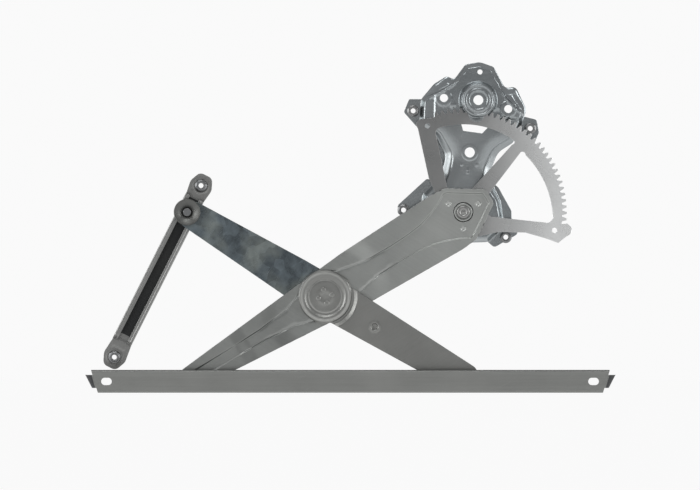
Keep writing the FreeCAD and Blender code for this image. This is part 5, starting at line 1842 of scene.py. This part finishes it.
@dataclass(frozen=True)
class Lamp:
    """A soft box that faces the object."""

    name: str
    place: Triple
    size: Point
    power: float

    def build(self, target: Vector) -> None:
        """Hangs the lamp and turns it to its target.

        Args:
            target: The place that the lamp faces.
        """
        light = bpy.data.lights.new(self.name, "AREA")
        light.shape = "RECTANGLE"
        light.size, light.size_y = self.size
        light.energy = self.power
        lamp = bpy.data.objects.new(self.name, light)
        bpy.context.scene.collection.objects.link(lamp)
        aim = (target - Vector(self.place)).to_track_quat("-Z", "Y").to_matrix().to_4x4()
        lamp.matrix_world = Matrix.Translation(self.place) @ aim


@dataclass
class Studio:
    """Floor, lamps, surroundings and camera."""

    pale: float = 0.955
    pale_floor: float = 0.973
    width: float = 0.700
    centre: Triple = (-0.12835, 0.0, -0.1449)
    stand_off: float = 4.0
    sensor: float = 36.0
    floor_height: float = -0.75
    floor_reach: float = 14.0
    floor_seen: float = 0.965
    room_strength: float = 0.75
    room: tuple[Point, ...] = ((0.0, 0.32), (0.44, 0.42), (0.56, 0.46), (0.78, 0.50), (1.0, 0.62))
    lamps: tuple[Lamp, ...] = (
        Lamp("top_box", (-0.3, -1.0, 1.5), (1.2, 0.6), 9.0),
        Lamp("left_box", (-1.7, -0.9, 0.3), (0.6, 1.2), 10.0),
        Lamp("right_box", (1.6, -1.0, 0.4), (0.5, 1.2), 9.0),
        Lamp("far_right_box", (1.9, -0.15, 0.0), (0.8, 1.4), 11.0),
        Lamp("far_left_box", (-2.1, -0.15, 0.0), (0.8, 1.4), 9.0))

    def floor(self) -> None:
        """Lays a pale floor that shows as the background and keeps the shadow."""
        mesh = bpy.data.meshes.new("floor")
        corners = [(x * self.floor_reach, y * self.floor_reach, self.floor_height)
                   for x, y in ((-1, -1), (1, -1), (1, 1), (-1, 1))]
        mesh.from_pydata(corners, [], [(0, 1, 2, 3)])
        floor = new_piece("floor", mesh)
        paint = Paint("pale_floor")
        camera = paint.node("ShaderNodeLightPath", {}, {}, "Is Camera Ray")
        seen = camera + camera.beside("Is Glossy Ray") + camera.beside("Is Transmission Ray")
        matte = paint.node("ShaderNodeBsdfDiffuse", {}, {"Color": shade((0.8,) * 3)})
        glow = paint.node("ShaderNodeEmission", {}, {"Color": shade((1.0,) * 3), "Strength": self.pale_floor})
        share = seen.clipped() * self.floor_seen
        mixed = paint.node("ShaderNodeMixShader", {}, {0: share, 1: matte, 2: glow})
        floor.data.materials.append(paint.finish(mixed))

    def surroundings(self) -> None:
        """A pale room that is dimmer low down, and a flat background for the camera."""
        world = bpy.data.worlds.new("room")
        bpy.context.scene.world = world
        world.use_nodes = True
        tree = Tree(world.node_tree)
        where = tree.node("ShaderNodeTexCoord", {}, {}, "Generated")
        rise = tree.node("ShaderNodeSeparateXYZ", {}, {"Vector": where}, "Z") * 0.5 + 0.5
        stops = [(place, (grey, grey, grey * 1.01, 1.0)) for place, grey in self.room]
        grey = tree.node("ShaderNodeValToRGB", {"stops": stops}, {"Fac": rise})
        room = tree.node("ShaderNodeBackground", {}, {"Color": grey, "Strength": self.room_strength})
        flat = tree.node("ShaderNodeBackground", {}, {"Color": shade((self.pale,) * 3)})
        camera = tree.node("ShaderNodeLightPath", {}, {}, "Is Camera Ray")
        mixed = tree.node("ShaderNodeMixShader", {}, {0: camera, 1: room, 2: flat})
        tree.node("ShaderNodeOutputWorld", {}, {"Surface": mixed})

    def camera(self) -> None:
        """A long lens level with the object's middle."""
        data = bpy.data.cameras.new("camera")
        data.sensor_width = self.sensor
        data.lens = self.sensor * self.stand_off / self.width
        data.clip_end = 60.0
        camera = bpy.data.objects.new("camera", data)
        bpy.context.scene.collection.objects.link(camera)
        camera.location = (self.centre[0], -self.stand_off, self.centre[2])
        camera.rotation_euler = (math.pi / 2, 0.0, 0.0)
        bpy.context.scene.camera = camera

    def build(self) -> None:
        """Sets the whole studio."""
        bpy.context.scene.view_settings.view_transform = "Standard"
        self.floor()
        self.surroundings()
        for lamp in self.lamps:
            lamp.build(Vector(self.centre))
        self.camera()


SOFTENED = (
    Softened("base", Metal.NYLON, "nylon", ("pivot_spacer",)),
    Softened("lift_arm_body", Metal.PLATED, "dark_steel", ("lift_roller_stud",)),
    Softened("balance_arm_body", Metal.PLATED, "bright_zinc", ("centre_hub",), 0.25),
    Softened("balance_arm_body", Metal.NUT, "dark_steel", ("rail_roller_stud", "guide_roller_stud")),
    Softened("lift_roller_body", Metal.NYLON, "nylon", ("lift_roller",), 0.6),
    Softened("rail_roller_body", Metal.NYLON, "nylon", ("rail_roller",), 0.6),
    Softened("guide_roller_body", Metal.NYLON, "nylon", ("guide_roller",), 0.6))


def main() -> None:
    """Builds every sub-assembly."""
    logging.basicConfig(level=logging.INFO, format="%(message)s")
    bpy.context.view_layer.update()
    for assembly in (Studio(), Base(), LiftArm(), FrontHalf(), RearHalf(), Sector(), Rail(), Guide(),
                     Fasteners(), *SOFTENED):
        assembly.build()


if __name__ == "__main__":
    main()
